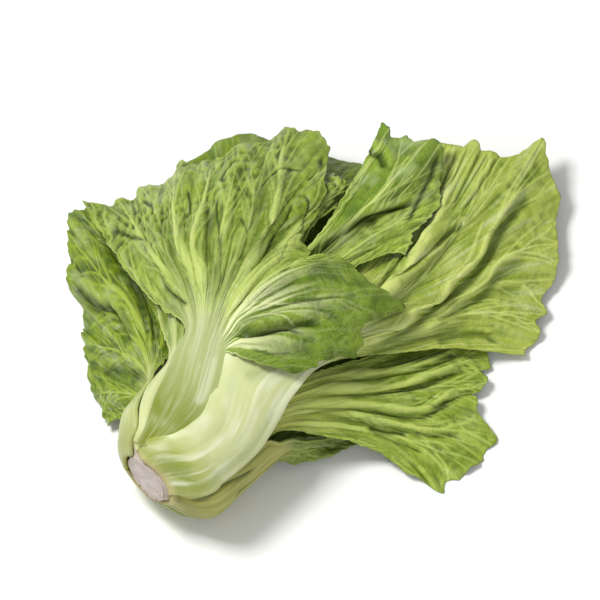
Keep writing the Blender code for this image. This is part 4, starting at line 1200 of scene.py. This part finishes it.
foldedLeaf = {
    "name": "foldedLeaf", "node": "leaf_folded", "seed": 83, "rows": (7, 14), "columnsAGap": 4,
    "fine": (4, 9, 14), "edgeWidth": 2, "turned": (-1, 2.6, 0.36),
    "stations": [
        (-30, 100, 62, 11, 5), (-10, 100, 60, 12, 6), (20, 106, 72, 12, 6), (60, 116, 92, 10, 4),
    ],
    "ribs": [
        (0, (159, 27, 80), (268, 59, 56)), (0.3, (161, 20, 81), (274, 39, 54)),
        (0.55, (164, 13, 80), (286, 20, 48)), (0.8, (164, 5, 72), (249, -8, 46)),
        (1, (161, -3, 66), (195, -21, 54)),
    ],
    "bends": {
        1: [(0, 1), (0.5, 1.3), (0.69, 1.7), (0.77, 1.69), (0.85, 1.59), (1, 1.25)],
        2: [(0, 2), (0.5, 2.3), (0.8, 2.4), (1, 2.2)],
    },
    "ribHeight": 1.6, "wave": 1.6, "flute": 1.2, "tooth": 3,
    "ribWidths": [3, 5, 3, 4, 2.5], "ribRise": 0.3, "branches": 5, "branchWidth": 1.4,
    "furrow": (1.2, 2.2, 50, 0.6), "pucker": (0.6, 2.6, 14, 0.4), "swell": (2.4, 0.9, 40),
    "crumple": (1.4, 11, 0.35), "ruffle": 1.8, "stalkWave": 0.6, "teeth": 6, "sideTeeth": 3,
    "toothLength": 8,
    "forms": [
        ([(0.36, -0.1), (0.46, 0.4), (0.598, 1.62), (0.777, 2.44), (0.88, 2.55)],
         3.6, 3.2, 2, -1.2, 1, 0.6),
        ([(0.36, 0.7), (0.45, 1.3), (0.55, 1.75), (0.64, 2.25), (0.74, 2.6)], -6, 6.5, 6.5, 0, 1, 0),
        # a flat mark: painted shade over the hollow under the rolled rim
        ([(0.34, 1), (0.47, 1.8), (0.57, 2.3), (0.66, 2.7)], 0, 9, 9, 0, 0.55, 0),
        ([(0.94, 0), (0.91, 0.2), (0.925, 0.55), (0.85, 1.3)], 3, 5, 2.4, -1, 0.95, 0.1),
        ([(0.99, 2.1), (0.95, 2.4), (0.89, 2.75), (0.84, 3.2)], -2.5, 2.5, 2.5, 0, 0.9, 0),
    ],
    "finish": {
        "neck": (0, 0.22), "rough": (0.28, 0.5), "wax": 0.2, "faceNeck": 0.4, "rays": 1.6, "paintedSheen": 0.3,
        "shine": 0.5,
    },
    "colours": {
        "blade": "#8aa22c", "dark": "#69811d", "light": "#a7be4e", "deep": "#293b05", "vein": "#b6c862",
        "rib": "#bcce67", "edge": "#b0c460", "base": "#949f3a", "stalk": "#b5c171", "streak": "#d0d799",
        "cut": "#c5be72", "face": "#789423", "faceDark": "#506c11", "faceVein": "#d0dd81",
        "faceLight": "#93ae38",
    },
}

topLeaf = {
    "name": "topLeaf", "node": "leaf_top", "seed": 97, "rows": (9, 13), "columnsAGap": 3,
    "fine": (4, 12, 10), "edgeWidth": 2.5, "turned": (9.75, 99, 0.04),
    "stations": [
        (-46, 116, 104, 1, 2.6), (-37, 115, 88, 1, 5), (-28, 115, 79, 0, 7), (-16, 121, 75, 0, 8.5),
        (-5, 126, 74, 0, 9), (8, 131, 79, 0, 8), (20, 136, 86, 0, 7), (32, 140, 92, 0, 6),
        (43, 142, 98, 0, 5),
    ],
    "ribs": [
        (0, (61, 106, 52), (105, 192, 12)), (0.1, (77, 108, 66), (122, 173, 22)),
        (0.2, (89, 106, 74), (138, 161, 32)), (0.31, (97, 98, 80), (161, 152, 40)),
        (0.42, (106, 89, 84), (175, 140, 46)), (0.52, (118, 78, 87), (196, 125, 48)),
        (0.6, (130, 67, 88), (226, 112, 48)), (0.68, (135, 56, 89), (232, 78, 52)),
        (0.75, (126, 46, 91), (190, 47, 66)), (0.81, (107, 36, 92), (143, 26, 84)),
        (0.87, (103, 24, 93), (157, -2, 84)), (0.92, (104, 4, 92), (159, -42, 66)),
        (0.96, (84, -5, 93), (109, -48, 70)), (1, (46, -6, 96), (60, -34, 85)),
    ],
    "bends": {
        1: [(0, 1.3), (0.3, 1.6), (0.46, 1.25), (0.8, 1), (1, 0.9)],
        3: [(0, 3.3), (0.31, 3.45), (0.45, 3), (0.635, 2.8), (0.77, 2.8), (1, 2.9)],
        4: [(0, 4.2), (0.29, 4.15), (0.41, 3.75), (0.55, 3.8), (0.67, 4), (1, 4.2)],
        6: [(0, 6), (0.34, 6), (0.51, 6.1), (0.67, 5.8), (0.84, 5.4), (1, 5.3)],
        7: [(0, 7.2), (0.29, 7.8), (0.46, 7.8), (0.57, 7.15), (0.69, 6.7), (0.84, 6.25), (1, 6.1)],
        8: [(0, 8.4), (0.22, 9.1), (0.5, 9.2), (0.77, 9), (0.9, 8.4), (1, 7.9)],
        9: [(0, 9.4), (0.3, 9.75), (1, 9.7)],
        11: [(0, 10.6), (0.31, 10.5), (0.43, 11), (0.64, 11.2), (1, 11.1)],
        12: [(0, 11.2), (0.25, 11.1), (0.44, 11.7), (0.6, 11.95), (1, 12)],
    },
    "ribHeight": 2.4, "wave": 2.4, "flute": 1.8, "tooth": 4,
    "ribWidths": [2.5, 4.5, 2.5, 5, 5, 2.5, 2.5, 6.5, 8.5, 3, 3.5, 2.5, 2.5, 2], "ribRise": 0.28,
    "branches": 6, "branchWidth": 1.5, "furrow": (2, 3.2, 48, 0.7), "pucker": (-0.5, 2.4, 18, 0.4),
    "swell": (2.6, 0.9, 36), "crumple": (-1.9, 13, 0.42), "ruffle": 1.8, "stalkWave": 0.8, "teeth": 5,
    "sideTeeth": 3.5, "toothLength": 8,
    "tuck": [(0, 3, 1, 0)],
    "lobes": [
        (11.1, 0.13, 11), (11.6, 0.2, -7), (12.1, 0.13, 7), (10.4, 0.3, -3), (10.75, 0.05, 3),
        (11.35, 0.05, 3.5), (11.85, 0.06, 3), (12.35, 0.06, 4), (12.55, 0.05, -2),
    ],
    "calm": [(9.1, 0.9, 0.85)],
    "forms": [
        ([(0.17, 1.9), (0.25, 1), (0.346, 0.72), (0.44, 1)], -4, 2.4, 2.4, 0, 1, 0),
        ([(0.2, 3.5), (0.31, 3.45), (0.45, 3), (0.635, 2.8), (0.8, 2.8)], 2.4, 5, 5, 0.5, 0.4, 0.1),
        ([(0.2, 4.3), (0.29, 4.15), (0.41, 3.75), (0.55, 3.8), (0.7, 4)], 2.4, 5, 5, -0.5, 0.45, 0.1),
        ([(0.3, 7.8), (0.46, 7.8), (0.57, 7.15), (0.69, 6.7), (0.86, 6.25)], 2.8, 6, 6, 0.5, 0.4, 0.2),
        ([(0.2, 9), (0.5, 9.15), (0.77, 9), (0.92, 8.3)], 3, 8.5, 8.5, 0.4, 0.4, 1),
        ([(0.35, 8.5), (0.5, 8.4), (0.62, 8), (0.76, 7.6)], -3, 2.4, 2.4, 0, 0.8, 0),
        ([(0.28, 5.2), (0.4, 5.1), (0.53, 4.83), (0.7, 4.79)], -1.8, 2, 2, 0, 0.7, 0),
        ([(0.34, 6.5), (0.45, 6.3), (0.58, 5.5)], -1.4, 1.8, 1.8, 0, 0.6, 0),
        ([(0.85, 0.33), (0.74, 0.7), (0.625, 1.17)], -1.8, 2, 2, 0, 0.8, 0),
        ([(0.9, 1.6), (0.8, 1.9), (0.72, 1.8)], -1.8, 2, 2, 0, 0.8, 0),
        ([(0.9, 5), (0.82, 4.6), (0.76, 4.9)], -1.6, 1.8, 1.8, 0, 0.8, 0),
        ([(0.45, 4.95), (0.6, 4.6), (0.72, 4.5)], -1.6, 1.6, 1.6, 0, 0.8, 0),
        ([(0.62, 3.3), (0.7, 3.5), (0.8, 3.35)], -1.6, 1.6, 1.6, 0, 0.8, 0),
        ([(0.7, 5.9), (0.78, 6.4), (0.83, 7)], -1.6, 1.6, 1.6, 0, 0.7, 0),
        ([(0.8, 7.6), (0.88, 8), (0.92, 8.6)], -1.6, 1.6, 1.6, 0, 0.7, 0),
        ([(0.5, 2.2), (0.6, 2), (0.72, 2.3)], -1.5, 1.6, 1.6, 0, 0.7, 0),
        ([(0.14, 11), (0.3, 11.7), (0.5, 11.8), (0.72, 11.6)], 4, 10, 3, -0.8, 1, 0),
        ([(0.14, 11.6), (0.25, 12.15), (0.356, 12.2), (0.53, 12.1), (0.74, 12.15)],
         -4.5, 1.8, 1.8, 0, 1, 0),
        ([(0.3, 11), (0.45, 11.15), (0.6, 11.2), (0.78, 11.1)], -1.8, 1.6, 1.6, 0, 0.7, 0),
        ([(0.35, 10.3), (0.5, 10.4), (0.65, 10.35)], -1.4, 1.4, 1.4, 0, 0.6, 0),
        ([(0.4, 12.7), (0.6, 12.75), (0.8, 12.6)], -1.4, 1.4, 1.4, 0, 0.6, 0),
        # a flat pale band down the upper stalk's right side: painted highlight
        ([(-0.02, 9.2), (-0.15, 9), (-0.3, 8.3)], 0, 7, 7, 0, 0, 1),
    ],
    "finish": {
        "olive": (0.3, 0.95), "neck": (0.06, 0.42), "streakFan": 0.9, "streaky": 0.5, "faceNeck": 0.95,
        "rays": 3.4, "paintedSheen": 0.08, "faceVeins": 0.08, "ribPale": 0.78, "veinPale": 0.4, "patchy": 0.35,
        "hollow": 0.95, "wrinkled": 0.25, "wrinkleFrom": 0.45, "netPale": 0.04, "proud": 0.6,
    },
    "colours": {
        "blade": "#849a2d", "dark": "#627915", "light": "#9baf4c", "deep": "#2b3d05", "vein": "#aebe66",
        "rib": "#b7c56a", "edge": "#97aa44", "base": "#77822b", "stalk": "#9ca768", "streak": "#bcc19b",
        "cut": "#afa865", "face": "#6e8823", "faceDark": "#3b5409", "faceVein": "#e1e6ae",
        "faceLight": "#889f38",
    },
}

# from the lowest leaf to the one on top
leaves = [
    underLeaf, frontLeaf, lowerRightLeaf, leftLeaf, rightLeaf,
    backLeaf, leftInnerLeaf, heartLeaf, foldedLeaf, topLeaf,
]

# the finish that all leaves share, in millimetres and shares; a leaf's own dictionary may change it
# hollow, proud and wrinkled set how strongly shade is painted into the hollows and wrinkles and highlight
# onto what stands proud
finish = {
    "mottle": 15.0, "net": (5.0, 4.6), "netPale": 0.08, "patchy": 0.6, "hollow": 0.7, "proud": 0.5,
    "olive": (0.12, 0.6), "neck": (0.04, 0.34), "streakFan": 2.2, "streaky": 0.5,
    "lineFan": 5.5, "stalkLines": 0.25, "ribPale": 0.85, "veinPale": 0.55,
    "wrinkled": 0.0, "wrinkleFrom": 0.35, "faceNeck": 0.5, "faceVeins": 0.45, "rays": 2.6,
    "paintedSheen": 0.12, "rough": (0.34, 0.58), "shine": 0.35, "wax": 0.1, "waxRough": 0.28,
    "ior": 1.4, "bump": 0.6, "bumpTall": 0.6,
}


def growHead():
    # each leaf lies on those before it
    heights = np.full(heightMap["cells"], emptyHeight)
    fineHeights = np.full(fineMap["cells"], emptyHeight)
    for leaf in leaves:
        stalkRows, bladeRows = leaf["rows"]
        points, thick, ridge = shapeLeaf(leaf)
        neck = np.clip((np.arange(len(points)) - stalkRows) / bladeRows, 0.0, 1.0)
        full = thick + ridge
        points = settle(points, full, heights, heightMap, neck)
        addToMap(heights, points, heightMap, 6)
        addToMap(heights, outerFace(points, full), heightMap, 6)
        outer, inner, fields, place = fineLeaf(leaf, points, thick, fineHeights)
        piece = leafMesh(leaf, outer, inner, fields, place)
        look = {**finish, **leaf.get("finish", {}), "colours": {**leafColours, **leaf["colours"]}}
        piece.data.materials.append(leafTissue(leaf["name"] + "Tissue", look))
        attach(piece, "root")
        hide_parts(leaf["node"])
        print("leaf", leaf["name"], len(piece.data.polygons), "faces")


# the cut stem: place along its axis and radius; behind the cut it swells where the stalks join it
stem = {
    "name": "cutStem",
    "cutRadius": 18.6,
    "profile": [
        (0.25, 18.5), (0.9, 18.3), (2.4, 18.6), (4.0, 20.6), (6.0, 23.6), (8.5, 25.0),
        (12.0, 24.0), (20.0, 15.5), (33.0, 9.0), (38.0, 4.0), (39.0, 0.6),
    ],
    "wobble": [(0.02, 3, 1), (0.012, 7, 2), (0.006, 17, 0)],  # share of the radius, lobes round, start
    "place": (-52.0, 5.0, 46.0),
    "turn": -8.0,
    # the scar beside the cut: where round the stem in radians and along it, how wide, long and tall
    "knob": {"turn": 0.9, "place": 6.5, "wide": 0.5, "long": 4.0, "tall": 8.5},
    # the cut face bulges a little and sinks in a ring where the bundles dried
    "face": {"bulge": 0.5, "sinksAt": 0.8, "sinkWide": 0.08, "sink": 0.25, "rough": 0.5},
    "steps": 128,
    "rings": 36,
    "sideRings": 54,
    "colours": {
        "cut": "#b3a59e", "pith": "#c3b7b1", "ring": "#a3957f",
        "skin": "#848c3c", "knob": "#d3d592", "brown": "#8a6238",
    },
}


def cutStem():
    # rings from the middle of the cut face out, then back along the stem
    profile = np.array(stem["profile"])
    cut = [(0.0, r) for r in np.linspace(0.5, stem["cutRadius"], stem["rings"])]
    steps = np.arange(len(profile))
    side = [tuple(p) for p in spline(steps, profile, np.linspace(0, len(profile) - 1, stem["sideRings"]))]
    face, knob = stem["face"], stem["knob"]
    turn = np.linspace(0, 2 * math.pi, stem["steps"], endpoint=False)
    rings = []
    across = []
    for place, radius in cut + side:
        wobble = sum(size * np.sin(lobes * turn + start) for size, lobes, start in stem["wobble"])
        r = radius * (1 + wobble * min(1.0, radius / 18))
        back = np.full_like(turn, place)
        share = radius / stem["cutRadius"]
        if place <= 0.0:
            back = face["rough"] * layeredNoise(r * np.cos(turn) / 3, r * np.sin(turn) / 11, 5) * share
            sink = face["sink"] * hump(share - face["sinksAt"], face["sinkWide"])
            back = back + face["bulge"] * (1 - share**2) - sink
        else:
            r = r + 0.5 * layeredNoise(place / 2 + 0 * turn, turn * 6, 8) * min(1.0, place)
            around = hump(turn - knob["turn"], knob["wide"])
            r = r + knob["tall"] * around * hump(place - knob["place"], knob["long"])
        rings.append(np.stack([back, r * np.cos(turn), r * np.sin(turn)], axis=1))
        across.append(np.full_like(turn, share if place <= 0.0 else 1.1 + 0.1 * place))
    # one point closes the cut face and one the hidden end
    count = stem["steps"]
    verts = np.concatenate(rings + [np.array([[0.4, 0, 0], [39.3, 0, 0]])])
    faces = []
    for k in range(len(rings) - 1):
        for n in range(count):
            a, b = k * count + n, k * count + (n + 1) % count
            faces.append((a, a + count, b + count, b))
    last = (len(rings) - 1) * count
    for n in range(count):
        faces.append((len(verts) - 2, n, (n + 1) % count))
        faces.append((len(verts) - 1, last + (n + 1) % count, last + n))
    mesh = bpy.data.meshes.new(stem["name"])
    mesh.from_pydata((verts * mm).tolist(), [], faces)
    across = np.concatenate(across + [np.array([0.0, 5.0])]).astype(np.float32)
    mesh.attributes.new("across", "FLOAT", "POINT").data.foreach_set("value", across)
    mesh.shade_smooth()
    piece = bpy.data.objects.new(stem["name"], mesh)
    bpy.context.scene.collection.objects.link(piece)
    piece.location = Vector(stem["place"]) * mm
    piece.rotation_euler = (0, 0, math.radians(stem["turn"]))
    piece.data.materials.append(cutStalk(stem["colours"]))
    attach(piece, "root")
    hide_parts("stump")
    print("stem", len(faces), "faces")


def cutStalk(colours):
    # a knife cut through pith and bundles: damp, pinkish grey, browned where it dried at the edge
    material, tree, shader = startMaterial("cutStalk")
    tones = {key: toLinear(code) for key, code in colours.items()}
    at = addNode(tree, "ShaderNodeTexCoord").outputs["Object"]
    read = {
        "across": addNode(tree, "ShaderNodeAttribute", {"attribute_name": "across"}).outputs["Fac"],
        "high": addNode(tree, "ShaderNodeSeparateXYZ", {}, {"Vector": at}).outputs["Z"],
    }
    for key, size, detail in (("smear", 7.0, 4.0), ("spots", 2.8, 3.0)):
        inputs = {"Vector": at, "Scale": 1 / (size * mm), "Detail": detail}
        read[key] = addNode(tree, "ShaderNodeTexNoise", {}, inputs).outputs[0]
    # across is 1 at the edge of the cut and more on the skin behind it; high is in metres from the axis
    tones["bark"] = paint(tree, tones["skin"], [("knob", 1.0, ("high", 0.012, 0.022))], read, tones)
    tone = paint(tree, tones["cut"], [
        ("pith", 1.0, ("smear", 0.35, 0.65)),
        ("ring", 0.4, ("across", 0.66, 0.8), ("across", 0.94, 0.82)),
        ("bark", 1.0, ("across", 1.3, 1.6)),
        ("brown", 1.0, ("across", 0.84, 0.97), ("across", 1.3, 1.1), ("spots", 0.5, 0.6),
         ("high", 0.012, -0.01)),
    ], read, tones)
    tree.links.new(tone, shader.inputs["Base Color"])
    inputs = {"Value": read["smear"], "To Min": 0.4, "To Max": 0.7}
    tree.links.new(addNode(tree, "ShaderNodeMapRange", {}, inputs).outputs[0], shader.inputs["Roughness"])
    bump = addNode(tree, "ShaderNodeBump", {}, {"Strength": 0.4, "Distance": 0.0004, "Height": read["spots"]})
    tree.links.new(bump.outputs[0], shader.inputs["Normal"])
    return material


# the studio: a pale floor, soft light from all sides and two large soft lamps; lengths here are metres
studio = {
    "floor": "#f4f4f2",
    "floorSize": 6.0,
    "floorRough": 0.9,
    "sky": 0.47,
    "key": {"place": (-0.25, 0.65, 1.5), "size": 0.5, "power": 24.5},
    "fill": {"place": (-0.7, -1.0, 1.0), "size": 1.4, "power": 4.5},
    "azimuth": 50.0,
    "elevation": 60.0,
    "frameWidth": 0.42,
    "centre": (0.149, 0.033, 0.0),
    "distance": 2.0,
}


def floorSweep():
    bpy.ops.mesh.primitive_plane_add(size=studio["floorSize"], location=(0, 0, 0))
    floor = bpy.context.object
    floor.name = "floor"
    # matt painted board, close to white: it gives back soft light from below
    material, _, shader = startMaterial("paintedBoard")
    shader.inputs["Base Color"].default_value = toLinear(studio["floor"])
    shader.inputs["Roughness"].default_value = studio["floorRough"]
    floor.data.materials.append(material)


def lights():
    world = bpy.data.worlds.new("softRoom")
    bpy.context.scene.world = world
    world.use_nodes = True
    world.node_tree.nodes["Background"].inputs[0].default_value = (1, 1, 1, 1)
    world.node_tree.nodes["Background"].inputs[1].default_value = studio["sky"]
    target = Vector(studio["centre"])
    for name in ("key", "fill"):
        lamp = bpy.data.lights.new(name, "AREA")
        lamp.size = studio[name]["size"]
        lamp.energy = studio[name]["power"]
        holder = bpy.data.objects.new(name, lamp)
        holder.location = studio[name]["place"]
        away = Vector(studio[name]["place"]) - target
        holder.rotation_euler = away.to_track_quat("Z", "Y").to_euler()
        bpy.context.scene.collection.objects.link(holder)


def camera():
    turn = math.radians(studio["azimuth"])
    tilt = math.radians(studio["elevation"])
    right = Vector((math.cos(turn), -math.sin(turn), 0))
    away = Vector((math.sin(turn), math.cos(turn), 0))
    back = (Vector((0, 0, 1)) * math.sin(tilt) - away * math.cos(tilt)).normalized()
    lens = bpy.data.cameras.new("camera")
    lens.type = "ORTHO"
    lens.ortho_scale = studio["frameWidth"]
    holder = bpy.data.objects.new("camera", lens)
    stand = Matrix((right, back.cross(right), back)).transposed().to_4x4()
    stand.translation = Vector(studio["centre"]) + back * studio["distance"]
    holder.matrix_world = stand
    bpy.context.scene.collection.objects.link(holder)
    bpy.context.scene.camera = holder
    bpy.context.scene.view_settings.view_transform = "Standard"


growHead()
cutStem()
floorSweep()
lights()
camera()
print("studio ready")
